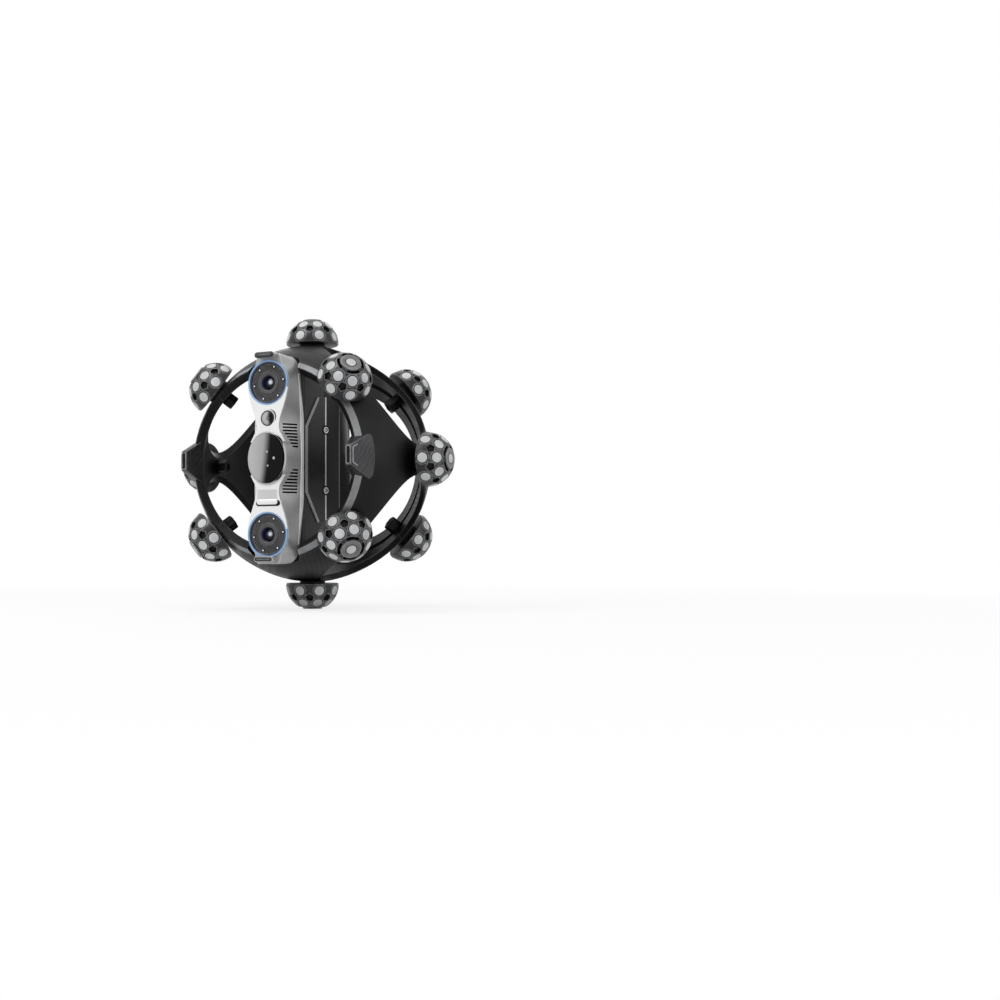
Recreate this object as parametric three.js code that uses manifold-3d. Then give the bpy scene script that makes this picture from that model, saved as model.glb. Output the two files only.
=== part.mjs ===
// Handheld three-d scanner inside an open round cage of target domes.
// Millimetres, +Z up, front towards -Y, +X to the right as seen from the front.
// Inner pieces are placed from the centre of the cage; the whole part is then
// moved so that the origin lies at the middle of the hand grip.

import * as THREE from 'three';
import { mergeVertices } from 'three/addons/utils/BufferGeometryUtils.js';
import { ConvexGeometry } from 'three/addons/geometries/ConvexGeometry.js';
import Module from 'manifold-3d';

const wasm = await Module();
wasm.setup();

// Driving dimensions. The cage radius leads, and what follows it is written
// as a share of it. Walls, gaps, pins and other small sizes are plain lengths.

const seatGap = 0.3;
const weldDistance = 0.0005;
const cutOverrun = 6;

// Cage shell
const cageRadius = 113;
const cageRingWall = 8;
const cagePetalWall = 5.5;
const frontOpeningRadius = cageRadius * 0.7611;
const rearOpeningRadius = cageRadius * 0.708;
const ringDepth = cageRadius * 0.2389;
const rimWidth = 4.5;
const rimHeight = 1.4;
const channelWidth = 8;
const channelDepth = 2;
const windowHalfLength = cageRadius * 0.6106;
const windowHalfDepth = cageRadius * 0.4115;
const windowSteps = 24;
const cageSegments = 40;
const cageArcSteps = 6;
const cageInnerSteps = 4;
const sphereSegments = 32;
const sphereRows = 16;

// Grip hubs on the rings at the equator
const hubFaceInnerX = cageRadius * 0.741;
const hubFaceOuterX = cageRadius * 0.793;
const hubFaceY = cageRadius * 0.802;
const hubFaceHeight = cageRadius * 0.156;
const hubRootHeight = cageRadius * 0.372;
const hubRootAngle = 57.5;
const hubHeelAngle = 49.5;
const hubSink = 1.5;

// Target domes and their nuts
const domeRadius = cageRadius * 0.2212;
const domeFlatHeight = domeRadius * 0.944;
const domeNeckRadius = domeRadius * 0.48;
const domeSeatDepth = 0.8;
const seatSegments = 12;
const domeSegments = 16;
const domeRowAngles = [90, 70, 50, 34];
const diagonalDomeDistance = cageRadius + 3.5;
const lateralDomeDistance = cageRadius + 7.5;
const poleDomeDistance = cageRadius + 2;
const diagonalDomeAngle = 33.4;
const studRadius = 3;
const studClearance = 0.4;
const studEngagement = 6;
const studSegments = 10;
const pocketDepth = 2.2;
const pocketRadius = 3.6;
const pocketAngle = 60;
const pocketCount = 8;
const pocketSides = 5;
const nutRadius = 7;
const nutLobeDepth = 0.9;
const nutHeight = 10;
const nutLobeCount = 6;
const nutStepsPerLobe = 2;

// Scanner body
const bodyFaceY = -cageRadius * 0.7212;
const bevelCornerY = -cageRadius * 0.5487;
const seamY = -cageRadius * 0.292;
const bodyRearY = -cageRadius * 0.0177;
const faceHalfWidth = cageRadius * 0.1327;
const bevelHalfWidth = cageRadius * 0.2283;
const seamHalfWidth = cageRadius * 0.2832;
const rearHalfWidth = cageRadius * 0.2965;
const rearRounding = 7;
const hoodRise = cageRadius * 0.2345;
const hoodStart = 1;
const hoodEndWidth = 10;
const hoodRootStart = 9;
const hoodRootEndWidth = 8;
const notchGap = 1.2;
const nutClearance = 5.5;
const bodyWall = 2.6;
const frontWallDepth = 7.5;
const cornerSteps = 4;
const hoodSteps = 5;
const roundSteps = 24;
const ovalSteps = 24;
const lensSteps = 12;

// Cameras, window and lamps on the front
const cameraHeight = cageRadius * 0.6106;
const cameraBossRadius = cageRadius * 0.1912;
const cameraBossRootRadius = cameraBossRadius + 1.6;
const lightOuterRadius = cageRadius * 0.1796;
const lightWidth = 2.1;
const lightDepth = 4;
const lightProud = 1.6;
const lensPlateThickness = 3;
const lensCollarRadius = cageRadius * 0.0841;
const lensCollarHeight = 1.2;
const lensBoreRadius = 6.2;
const lensBoreDepth = 2;
const lensRadius = 5.8;
const lensThroatStep = 3;
const lensCrown = 0.6;
const lensCrownShare = 0.7;
const windowHalfWidth = cageRadius * 0.1611;
const windowHalfHeight = cageRadius * 0.1965;
const windowRim = 2.4;
const windowProud = 4.2;
const windowGlassThickness = 3;
const windowGlassCrown = 1.2;
const windowBossProud = 2.7;
const windowCrownShare = 0.8;
const bossDepth = 14;
const finderHeight = cageRadius * 0.323;
const finderRadius = cageRadius * 0.0531;
const finderProud = 1.4;
const finderSeatDepth = 3.5;
const laserHeight = cageRadius * 0.354;
const laserHalfLength = cageRadius * 0.1106;
const laserHalfHeight = 3.4;
const laserSeatDepth = 3;
const laserProud = 0.4;
const plateThickness = 1.3;
const plateWaist = cageRadius * 0.0726;
const plateWaistHeight = cageRadius * 0.2212;
const plateFoot = cageRadius * 0.0885;
const plateFootHeight = cageRadius * 0.1327;
const plateMiddle = cageRadius * 0.1292;
const plateMiddleHeight = cageRadius * 0.354;
const plateShoulder = cageRadius * 0.154;
const plateShoulderHeight = cageRadius * 0.4425;
const plateTop = cageRadius * 0.1735;
const plateTopHeight = cageRadius * 0.5487;
const plateSteps = 10;
const insertHalfLength = cageRadius * 0.0796;
const insertHalfHeight = 2;
const insertDepth = 3;
const insertInset = 3;
const insertSteps = 2;
const insertProud = 1;

// Vents in the bevels
const ventCount = 8;
const ventPitch = cageRadius * 0.023;
const ventSlotHeight = cageRadius * 0.0124;
const ventLowest = cageRadius * 0.0929;
const ventLongest = cageRadius * 0.131;
const ventShortest = cageRadius * 0.0602;
const ventEdgeOffset = cageRadius * 0.0575;
const ventDepth = 4;

// Side panels
const panelThickness = 1.2;
const panelFrontHalfHeight = cageRadius * 0.2743;
const panelHalfHeight = cageRadius * 0.5133;
const panelShoulderDepth = cageRadius * 0.1504;
const panelMargin = 2;

// Pieces inside the body
const boardThickness = 1.6;
const boardHalfWidth = cageRadius * 0.1947;
const boardHalfHeight = cageRadius * 0.4602;
const boardY = -cageRadius * 0.2566;
const engineHalfWidth = cageRadius * 0.0973;
const engineHalfHeight = cageRadius * 0.1504;
const engineDepth = cageRadius * 0.2301;
const engineBarrelRadius = cageRadius * 0.0796;
const cameraBodyHalfWidth = cageRadius * 0.0885;
const cameraBodyDepth = cageRadius * 0.1947;
const cameraBarrelRadius = cageRadius * 0.0708;
const batteryHalfWidth = cageRadius * 0.1593;
const batteryHalfHeight = cageRadius * 0.3717;
const batteryDepth = cageRadius * 0.1239;
const postRadius = 2.5;
const postSegments = 8;

// Hand grip
const gripSetback = cageRadius * 0.3982;
const gripLean = cageRadius * 0.0796;
const gripHalfHeight = cageRadius * 0.4602;
const gripHalfWidth = cageRadius * 0.1327;
const gripHalfDepth = cageRadius * 0.1593;
const gripArmHeight = cageRadius * 0.1947;
const gripArmHalfWidth = cageRadius * 0.115;
const gripArmRise = cageRadius * 0.0531;
const gripCapHeight = cageRadius * 0.1327;
const gripCapShare = 0.6;
const gripSteps = 20;
const gripSplitGap = 0.4;
const gripPadThickness = 1.8;
const gripPadHalfHeight = cageRadius * 0.354;

// Buttons and the socket cover
const triggerHalfHeight = 14;
const triggerHalfWidth = 7;
const triggerProud = 5;
const triggerTravel = 3;
const triggerDepth = 8;
const triggerHeight = cageRadius * 0.2301;
const buttonGap = 0.4;
const buttonRadius = 4.2;
const buttonDepth = 5;
const buttonProud = 1.6;
const buttonTravel = 1;
const buttonPitch = 12;
const buttonHeight = cageRadius * 0.2655;
const buttonPanelHalfWidth = 8;
const triggerCorner = 6;
const triggerNoseShare = 0.7;
const triggerNoseCorner = 4;
const coverHalfWidth = 9;
const coverHeight = 16;
const coverThickness = 2;
const coverPinRadius = 1.1;
const coverEarWidth = 2.5;
const coverDrop = cageRadius * 0.1416;
const coverKnuckleRadius = 2.2;
const coverKnuckleInset = 2.5;
const pinClearance = 0.3;
const pinSegments = 16;
const socketDepth = 5;
const socketHalfWidth = 5;
const socketHeight = 4;

// Solids and placing

const sides = [-1, 1];
const radians = THREE.MathUtils.degToRad;
const right = new THREE.Vector3(1, 0, 0);
const back = new THREE.Vector3(0, 1, 0);
const up = new THREE.Vector3(0, 0, 1);

function solid(geometry) {
  const plain = geometry.clone();
  for (const name of Object.keys(plain.attributes)) {
    if (name !== 'position') {
      plain.deleteAttribute(name);
    }
  }
  const merged = mergeVertices(plain, weldDistance);
  return new wasm.Manifold(new wasm.Mesh({
    numProp: 3,
    vertProperties: Float32Array.from(merged.attributes.position.array),
    triVerts: Uint32Array.from(merged.index.array),
  }));
}

function geometryOf(manifold) {
  const mesh = manifold.getMesh();
  const geometry = new THREE.BufferGeometry();
  geometry.setAttribute('position', new THREE.BufferAttribute(mesh.vertProperties, 3));
  geometry.setIndex(new THREE.BufferAttribute(mesh.triVerts, 1));
  geometry.computeVertexNormals();
  return geometry;
}

// The largest body of a solid, without the crumbs that cuts through a seam leave.
function mainBody(manifold) {
  const bodies = manifold.decompose();
  return bodies.reduce((best, body) => (body.volume() > best.volume() ? body : best));
}

// A flat outline of [a, b] points, raised by depth. a runs along the first
// direction, b along the second, and the depth along their cross product.
function slab(points, depth, along, across, origin = new THREE.Vector3()) {
  const shape = new THREE.Shape(points.map(([a, b]) => new THREE.Vector2(a, b)));
  const geometry = new THREE.ExtrudeGeometry(shape, { depth, bevelEnabled: false });
  const out = new THREE.Vector3().crossVectors(along, across);
  const matrix = new THREE.Matrix4().makeBasis(along, across, out).setPosition(origin);
  return geometry.applyMatrix4(matrix);
}

// An outline of [x, z] points, solid from frontY back to backY.
function slabAlongY(points, frontY, backY) {
  return slab(points, backY - frontY, right, up, new THREE.Vector3(0, backY, 0));
}

function boxBetween(low, high) {
  const size = high.map((value, axis) => value - low[axis]);
  const middle = high.map((value, axis) => (value + low[axis]) / 2);
  return new THREE.BoxGeometry(...size).translate(...middle);
}

function ellipsePoints(halfWidth, halfHeight, count, centreZ = 0) {
  return Array.from({ length: count }, (_, index) => {
    const angle = ((index + 0.5) / count) * 2 * Math.PI;
    return [halfWidth * Math.cos(angle), centreZ + halfHeight * Math.sin(angle)];
  });
}

// A rounded rectangle, or a pill where the corner takes up the whole height.
function roundedPoints(halfWidth, halfHeight, corner, steps, centreZ = 0) {
  const points = [];
  const quarters = [[1, 1], [-1, 1], [-1, -1], [1, -1]];
  for (const [quarter, [signX, signZ]] of quarters.entries()) {
    for (let step = 0; step <= steps; step += 1) {
      const angle = (quarter + step / steps) * (Math.PI / 2);
      points.push([
        signX * (halfWidth - corner) + corner * Math.cos(angle),
        centreZ + signZ * (halfHeight - corner) + corner * Math.sin(angle),
      ]);
    }
  }
  return points;
}

// The tight skin round flat [x, z] outlines that lie at given depths y.
function hullBetween(...sections) {
  return new ConvexGeometry(sections.flatMap(
    ([y, outline]) => outline.map(([x, z]) => new THREE.Vector3(x, y, z)),
  ));
}

// The tight skin round flat [x, y] outlines that lie at given heights z.
function hullUpwards(...sections) {
  return new ConvexGeometry(sections.flatMap(
    ([z, outline]) => outline.map(([x, y]) => new THREE.Vector3(x, y, z)),
  ));
}

// A turned piece about the front-to-back axis at a height, from [radius, y] points.
function turned(points, segments, height = 0) {
  const profile = points.map(([radius, y]) => new THREE.Vector2(radius, y));
  if (THREE.ShapeUtils.isClockWise(profile)) {
    profile.reverse();
  }
  return new THREE.LatheGeometry(profile, segments).translate(0, 0, height);
}

function rod(radius, frontY, backY, segments, height = 0) {
  return turned([[0, frontY], [radius, frontY], [radius, backY], [0, backY]], segments, height);
}

function mirrored(geometry) {
  const copy = geometry.index ? geometry.clone() : mergeVertices(geometry, weldDistance);
  copy.scale(-1, 1, 1);
  const order = Array.from(copy.index.array);
  for (let corner = 0; corner < order.length; corner += 3) {
    [order[corner + 1], order[corner + 2]] = [order[corner + 2], order[corner + 1]];
  }
  copy.setIndex(order);
  return copy;
}

// Distance from the middle plane at which a sphere has a given girth radius.
function depthAtGirth(radius, girth) {
  return Math.sqrt(radius * radius - girth * girth);
}

// Finishes

const finishes = {
  shell: { color: 0x24252a, roughness: 0.5, metalness: 0.2 },
  dome: { color: 0x35363c, roughness: 0.45, metalness: 0.4 },
  nut: { color: 0x0e0e10, roughness: 0.6, metalness: 0.1 },
  silver: { color: 0x9a9da2, roughness: 0.35, metalness: 0.8 },
  bright: { color: 0xdfe1e4, roughness: 0.3, metalness: 0.7 },
  charcoal: { color: 0x2c2d31, roughness: 0.5, metalness: 0.3 },
  glow: { color: 0x6fb4ff, roughness: 0.4, metalness: 0 },
  glass: { color: 0x14161a, roughness: 0.05, metalness: 0 },
  board: { color: 0x1f5a34, roughness: 0.6, metalness: 0 },
  inner: { color: 0x55585e, roughness: 0.6, metalness: 0.5 },
  rubber: { color: 0x17181a, roughness: 0.9, metalness: 0 },
  button: { color: 0x3c3e44, roughness: 0.5, metalness: 0.1 },
};

const part = new THREE.Group();
const fromCageCentre = new THREE.Group();
fromCageCentre.position.set(0, -gripSetback, 0);
part.add(fromCageCentre);

function addPiece(name, shape, finish, group = fromCageCentre) {
  const geometry = shape.isBufferGeometry ? shape : geometryOf(shape);
  const mesh = new THREE.Mesh(geometry, new THREE.MeshStandardMaterial(finishes[finish]));
  mesh.name = name;
  group.add(mesh);
}

// Cage: one shell turned about the front-to-back axis, with a lip at each
// opening and a channel inside each ring. Four oval windows cut it, and it
// comes apart into four petals whose ends meet under the diagonal domes.

function arcPoints(radius, fromY, toY, steps) {
  const start = Math.asin(fromY / radius);
  const end = Math.asin(toY / radius);
  return Array.from({ length: steps + 1 }, (_, step) => {
    const angle = start + (end - start) * (step / steps);
    return [radius * Math.cos(angle), radius * Math.sin(angle)];
  });
}

// The half section of one ring, from the middle plane out to its opening,
// as outer points followed by inner points, for an opening towards +Y.
function ringOuter(openingRadius) {
  const surface = (girth) => depthAtGirth(cageRadius, girth);
  const lipEnd = openingRadius + rimWidth + rimHeight;
  return [
    ...arcPoints(cageRadius, 0, surface(lipEnd), cageArcSteps),
    [openingRadius + rimWidth, surface(openingRadius + rimWidth) + rimHeight],
    [openingRadius, surface(openingRadius) + rimHeight],
  ];
}

function ringInner(openingRadius) {
  const ringRadius = cageRadius - cageRingWall;
  const petalRadius = cageRadius - cagePetalWall;
  const girth = (radius, y) => [depthAtGirth(radius, y), y];
  const stepY = depthAtGirth(cageRadius, openingRadius) - ringDepth;
  const channelY = ringRadius * Math.sin(radians(diagonalDomeAngle));
  const channelBottom = ringRadius + channelDepth;
  const innerOpening = openingRadius * (ringRadius / cageRadius);
  return [
    [innerOpening, depthAtGirth(ringRadius, innerOpening)],
    girth(ringRadius, channelY + channelWidth / 2),
    girth(channelBottom, channelY + channelWidth / 2),
    girth(channelBottom, channelY - channelWidth / 2),
    girth(ringRadius, channelY - channelWidth / 2),
    girth(ringRadius, stepY),
    ...arcPoints(petalRadius, stepY - channelDepth, 0, cageInnerSteps),
  ];
}

function cageShell() {
  const front = (points) => points.map(([girth, y]) => [girth, -y]);
  const outline = [
    ...ringOuter(rearOpeningRadius),
    ...ringInner(rearOpeningRadius),
    ...front(ringInner(frontOpeningRadius)).reverse().slice(1),
    ...front(ringOuter(frontOpeningRadius)).reverse(),
  ];
  return solid(turned(outline, cageSegments));
}

function cageWindow(angle) {
  const outline = ellipsePoints(windowHalfLength, windowHalfDepth, windowSteps);
  const along = new THREE.Vector3(Math.sin(angle), 0, -Math.cos(angle));
  return solid(slab(outline, cageRadius + cutOverrun, along, back));
}

// Places of the domes: [name, unit direction, distance of the base, shell inner radius].
function domePlaces() {
  const tilt = radians(diagonalDomeAngle);
  const ringRadius = cageRadius - cageRingWall;
  const petalRadius = cageRadius - cagePetalWall;
  const places = [
    ['top', new THREE.Vector3(0, 0, 1), poleDomeDistance, petalRadius],
    ['bottom', new THREE.Vector3(0, 0, -1), poleDomeDistance, petalRadius],
    ['left', new THREE.Vector3(-1, 0, 0), lateralDomeDistance, petalRadius],
    ['right', new THREE.Vector3(1, 0, 0), lateralDomeDistance, petalRadius],
  ];
  for (const [depthName, signY] of [['front', -1], ['rear', 1]]) {
    for (const [heightName, signZ] of [['upper', 1], ['lower', -1]]) {
      for (const [sideName, signX] of [['left', -1], ['right', 1]]) {
        const direction = new THREE.Vector3(
          signX * Math.cos(tilt) * Math.SQRT1_2,
          signY * Math.sin(tilt),
          signZ * Math.cos(tilt) * Math.SQRT1_2,
        );
        const name = `${depthName}_${heightName}_${sideName}`;
        places.push([name, direction, diagonalDomeDistance, ringRadius]);
      }
    }
  }
  return places;
}

function facing(direction) {
  return new THREE.Quaternion().setFromUnitVectors(up, direction);
}

// A round cut that faces a direction, between two distances from the centre.
function radialCut(direction, radius, nearDistance, farDistance, segments) {
  const length = farDistance - nearDistance;
  const cut = new THREE.CylinderGeometry(radius, radius, length, segments).rotateX(Math.PI / 2);
  cut.applyQuaternion(facing(direction));
  const middle = direction.clone().multiplyScalar((nearDistance + farDistance) / 2);
  return solid(cut.translate(middle.x, middle.y, middle.z));
}

// The flat seat and the stud hole under one dome.
function domeSeat(direction) {
  const farDistance = cageRadius + cutOverrun;
  const nearDistance = cageRadius - cageRingWall - cutOverrun;
  const seatRadius = (domeNeckRadius + seatGap) / Math.cos(Math.PI / seatSegments);
  const seat = radialCut(direction, seatRadius, cageRadius - domeSeatDepth, farDistance, seatSegments);
  const holeRadius = studRadius + studClearance;
  return seat.add(radialCut(direction, holeRadius, nearDistance, farDistance, studSegments));
}

// A hub is a faceted block that stands out from a ring at the equator. Its
// face looks along Y, and it widens until it is flush with the petal behind it.
function hub(signX, signY) {
  const points = [];
  for (const sign of sides) {
    const faceZ = sign * hubFaceHeight / 2;
    const rootZ = sign * hubRootHeight / 2;
    for (const x of [hubFaceInnerX, hubFaceOuterX]) {
      points.push(new THREE.Vector3(signX * x, signY * hubFaceY, faceZ));
    }
    for (const [radius, angle] of hubFeet()) {
      const girth = depthAtGirth(radius, rootZ);
      const turn = radians(angle);
      points.push(new THREE.Vector3(
        signX * girth * Math.sin(turn), signY * girth * Math.cos(turn), rootZ,
      ));
    }
  }
  return solid(new ConvexGeometry(points));
}

// Where a hub ends in the ring: [radius, angle from the front-to-back axis].
function hubFeet() {
  return [
    [cageRadius - hubSink / 2, hubRootAngle],
    [cageRadius - cageRingWall + hubSink, hubHeelAngle],
    [cageRadius - cageRingWall + hubSink, hubRootAngle],
  ];
}

// A wedge that holds one quarter of the cage, less half the seam gap.
function petalWedge(angle) {
  const reach = 2 * cageRadius;
  const shift = seatGap / 2 * Math.SQRT2;
  const corner = (turn) => [
    (reach * Math.cos(angle + turn)) + shift * Math.cos(angle),
    (reach * Math.sin(angle + turn)) + shift * Math.sin(angle),
  ];
  const start = [shift * Math.cos(angle), shift * Math.sin(angle)];
  return solid(slabAlongY([start, corner(-Math.PI / 4), corner(Math.PI / 4)], -reach, reach));
}

function makeCage() {
  let shell = cageShell();
  for (let quarter = 0; quarter < 4; quarter += 1) {
    shell = shell.subtract(cageWindow((quarter + 0.5) * Math.PI / 2));
  }
  for (const signX of sides) {
    for (const signY of sides) {
      shell = shell.add(hub(signX, signY));
    }
  }
  for (const [, direction] of domePlaces()) {
    shell = shell.subtract(domeSeat(direction));
  }
  shell = shell.subtract(solid(frontHousingOuter(notchGap)));
  const petals = [['right', 0], ['top', Math.PI / 2], ['left', Math.PI], ['bottom', -Math.PI / 2]];
  for (const [name, angle] of petals) {
    addPiece(`cage_${name}_petal`, mainBody(shell.intersect(petalWedge(angle))), 'shell');
  }
}

// Domes: a hemisphere with a flat crown, eight five-sided pockets, a neck
// that stands on the cage, and a stud that goes through it.

function domeGeometry(neckLength, studLength) {
  const skin = domeRowAngles.map((rowAngle) => [
    domeRadius * Math.sin(radians(rowAngle)),
    domeRadius * Math.cos(radians(rowAngle)),
  ]);
  const profile = [
    [0, -studLength],
    [studRadius, -studLength],
    [studRadius, -neckLength],
    [domeNeckRadius, -neckLength],
    [domeNeckRadius, 0],
    ...skin,
    [depthAtGirth(domeRadius, domeFlatHeight), domeFlatHeight],
    [0, domeFlatHeight],
  ];
  const turnedSkin = turned(profile, domeSegments).rotateX(Math.PI / 2).rotateZ(Math.PI / domeSegments);
  let dome = solid(turnedSkin);
  for (let index = 0; index < pocketCount; index += 1) {
    const depth = pocketDepth + cutOverrun;
    const cutter = new THREE.CylinderGeometry(pocketRadius, pocketRadius, depth, pocketSides);
    cutter.rotateX(Math.PI / 2).translate(0, 0, domeRadius - pocketDepth + depth / 2);
    cutter.rotateY(radians(pocketAngle));
    cutter.rotateZ(((index + 0.5) / pocketCount) * 2 * Math.PI);
    dome = dome.subtract(solid(cutter));
  }
  return geometryOf(dome);
}

function nutGeometry(topZ) {
  const outline = Array.from({ length: nutLobeCount * nutStepsPerLobe }, (_, index) => {
    const angle = (index / (nutLobeCount * nutStepsPerLobe)) * 2 * Math.PI;
    const radius = nutRadius - nutLobeDepth * (1 - Math.cos(nutLobeCount * angle)) / 2;
    return [radius * Math.cos(angle), radius * Math.sin(angle)];
  });
  const nut = slab(outline, nutHeight, right, back, new THREE.Vector3(0, 0, topZ - nutHeight));
  const boreRadius = studRadius + studClearance;
  const boreDepth = studEngagement + studClearance;
  const bore = new THREE.CylinderGeometry(boreRadius, boreRadius, boreDepth + cutOverrun, studSegments);
  bore.rotateX(Math.PI / 2).translate(0, 0, topZ - boreDepth + (boreDepth + cutOverrun) / 2);
  return geometryOf(solid(nut).subtract(solid(bore)));
}

function makeDomes() {
  for (const [name, direction, distance, innerRadius] of domePlaces()) {
    const neckLength = distance - cageRadius + domeSeatDepth - seatGap;
    const nutTop = depthAtGirth(innerRadius, nutRadius) - 2 * seatGap - distance;
    const group = new THREE.Group();
    group.quaternion.copy(facing(direction));
    group.position.copy(direction).multiplyScalar(distance);
    fromCageCentre.add(group);
    addPiece(`${name}_target_dome`, domeGeometry(neckLength, studEngagement - nutTop), 'dome', group);
    addPiece(`${name}_dome_nut`, nutGeometry(nutTop), 'nut', group);
  }
}

// Front housing: a silver case with bevelled flanks, round bosses for the two
// cameras and an oval boss for the window.

function bodyHalfHeight() {
  return cameraHeight + hoodRise;
}

// Outline of the body: straight flanks, and hooded ends that narrow to a given width.
function hoodedPoints(halfWidth, endHalfWidth, startHeight, grow = 0) {
  const rise = bodyHalfHeight() + grow - startHeight;
  const inset = halfWidth - endHalfWidth;
  const upper = Array.from({ length: hoodSteps + 1 }, (_, step) => {
    const angle = (step / hoodSteps) * (Math.PI / 2);
    return [endHalfWidth + grow + inset * Math.cos(angle), startHeight + rise * Math.sin(angle)];
  });
  const lower = upper.map(([x, z]) => [x, -z]).reverse();
  const flank = [...lower, ...upper];
  return [...flank, ...flank.map(([x, z]) => [-x, -z])];
}

function faceOutline(grow = 0) {
  return hoodedPoints(faceHalfWidth, hoodEndWidth, cameraHeight + hoodStart, grow);
}

function bevelOutline(grow = 0) {
  return hoodedPoints(bevelHalfWidth, hoodRootEndWidth, cameraHeight + hoodRootStart, grow);
}

function frontHousingOuter(grow = 0) {
  return hullBetween([bodyFaceY - grow, faceOutline(grow)], [bevelCornerY + grow, bevelOutline(grow)]);
}

function windowFloorY() {
  return bodyFaceY - windowBossProud + windowGlassThickness;
}

// Vent slots of one flank, cut square to the bevel, longest at the ends.
function ventCutters(signZ) {
  const bevel = new THREE.Vector3(bevelHalfWidth - faceHalfWidth, bevelCornerY - bodyFaceY, 0);
  bevel.normalize();
  const corner = new THREE.Vector3(bevelHalfWidth, bevelCornerY, 0);
  const cutters = [];
  for (let index = 0; index < ventCount; index += 1) {
    const length = ventShortest + (ventLongest - ventShortest) * (index / (ventCount - 1));
    const z = signZ * (ventLowest + index * ventPitch);
    const middle = corner.clone().addScaledVector(bevel, -(ventEdgeOffset + length / 2));
    const halfHeight = ventSlotHeight / 2;
    const outline = [
      [-length / 2, -halfHeight],
      [length / 2, -halfHeight],
      [length / 2, halfHeight],
      [-length / 2, halfHeight],
    ];
    const origin = middle.clone().setZ(z);
    const outward = new THREE.Vector3().crossVectors(bevel, up);
    origin.addScaledVector(outward, -ventDepth);
    cutters.push(slab(outline, ventDepth + cutOverrun, bevel, up, origin));
  }
  return cutters;
}

function makeFrontHousing() {
  let housing = solid(frontHousingOuter());
  const bossBackY = bodyFaceY + bossDepth;
  const windowOuter = ellipsePoints(windowHalfWidth + windowRim, windowHalfHeight + windowRim, ovalSteps);
  housing = housing.add(solid(slabAlongY(windowOuter, bodyFaceY - windowBossProud, bossBackY)));
  for (const signZ of sides) {
    const z = signZ * cameraHeight;
    const front = ellipsePoints(cameraBossRadius, cameraBossRadius, roundSteps, z);
    const rear = ellipsePoints(cameraBossRootRadius, cameraBossRootRadius, roundSteps, z);
    housing = housing.add(solid(hullBetween([bodyFaceY, front], [bossBackY, rear])));
  }
  const hollowY = bodyFaceY + frontWallDepth;
  const hollowFront = faceOutline(-bodyWall / 2);
  const hollowRear = bevelOutline(-bodyWall);
  const openBackY = bevelCornerY + cutOverrun;
  housing = housing.subtract(solid(
    hullBetween([hollowY, hollowFront], [bevelCornerY, hollowRear], [openBackY, hollowRear]),
  ));
  for (const signZ of sides) {
    const z = signZ * cameraHeight;
    const aheadY = bodyFaceY - cutOverrun;
    const seat = rod(lightOuterRadius + seatGap, aheadY, bodyFaceY + lightDepth, roundSteps, z);
    const barrel = rod(cameraBarrelRadius + seatGap, aheadY, openBackY, lensSteps, z);
    housing = housing.subtract(solid(seat)).subtract(solid(barrel));
    for (const cutter of ventCutters(signZ)) {
      housing = housing.subtract(solid(cutter)).subtract(solid(mirrored(cutter)));
    }
  }
  const windowSeat = ellipsePoints(windowHalfWidth + seatGap, windowHalfHeight + seatGap, ovalSteps);
  housing = housing.subtract(solid(slabAlongY(windowSeat, bodyFaceY - cutOverrun, windowFloorY())));
  housing = housing.subtract(solid(
    rod(engineBarrelRadius + seatGap, bodyFaceY - cutOverrun, openBackY, lensSteps),
  ));
  const finderSeatY = bodyFaceY + finderSeatDepth;
  housing = housing.subtract(solid(
    rod(finderRadius + seatGap, bodyFaceY - cutOverrun, finderSeatY, lensSteps, finderHeight),
  ));
  const laserSeatY = bodyFaceY + laserSeatDepth;
  housing = housing.subtract(solid(slabAlongY(laserOutline(seatGap), bodyFaceY - cutOverrun, laserSeatY)));
  for (const signZ of sides) {
    const outline = insertOutline(signZ, seatGap);
    housing = housing.subtract(solid(slabAlongY(outline, bodyFaceY - cutOverrun, bodyFaceY + insertDepth)));
  }
  addPiece('front_housing', housing, 'silver');
}

function laserOutline(grow = 0) {
  return roundedPoints(
    laserHalfLength + grow, laserHalfHeight + grow, laserHalfHeight, cornerSteps, -laserHeight,
  );
}

function insertOutline(signZ, grow = 0) {
  return roundedPoints(
    insertHalfLength + grow, insertHalfHeight + grow, insertHalfHeight, insertSteps, signZ * (bodyHalfHeight() - insertInset),
  );
}

// Front plates: waisted bright strips between each camera and the window.

function makeFrontPlate(name, signZ) {
  const edge = new THREE.SplineCurve([
    new THREE.Vector2(plateFoot, plateFootHeight),
    new THREE.Vector2(plateWaist, plateWaistHeight),
    new THREE.Vector2(plateMiddle, plateMiddleHeight),
    new THREE.Vector2(plateShoulder, plateShoulderHeight),
    new THREE.Vector2(plateTop, plateTopHeight),
  ]).getPoints(plateSteps);
  const outline = [
    ...edge.map(({ x, y }) => [x, signZ * y]),
    ...edge.reverse().map(({ x, y }) => [-x, signZ * y]),
  ];
  if (signZ < 0) {
    outline.reverse();
  }
  const backY = bodyFaceY - seatGap;
  const frontY = backY - plateThickness;
  const throughY = [frontY - cutOverrun, backY + cutOverrun];
  let plate = solid(slabAlongY(outline, frontY, backY));
  const cameraHole = rod(lightOuterRadius + seatGap, ...throughY, roundSteps, signZ * cameraHeight);
  const windowHole = ellipsePoints(
    windowHalfWidth + windowRim + seatGap, windowHalfHeight + windowRim + seatGap, ovalSteps,
  );
  plate = plate.subtract(solid(cameraHole)).subtract(solid(slabAlongY(windowHole, ...throughY)));
  if (signZ > 0) {
    plate = plate.subtract(solid(rod(finderRadius + seatGap, ...throughY, lensSteps, finderHeight)));
  } else {
    plate = plate.subtract(solid(slabAlongY(laserOutline(seatGap), ...throughY)));
  }
  addPiece(name, plate, 'bright');
}

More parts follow.
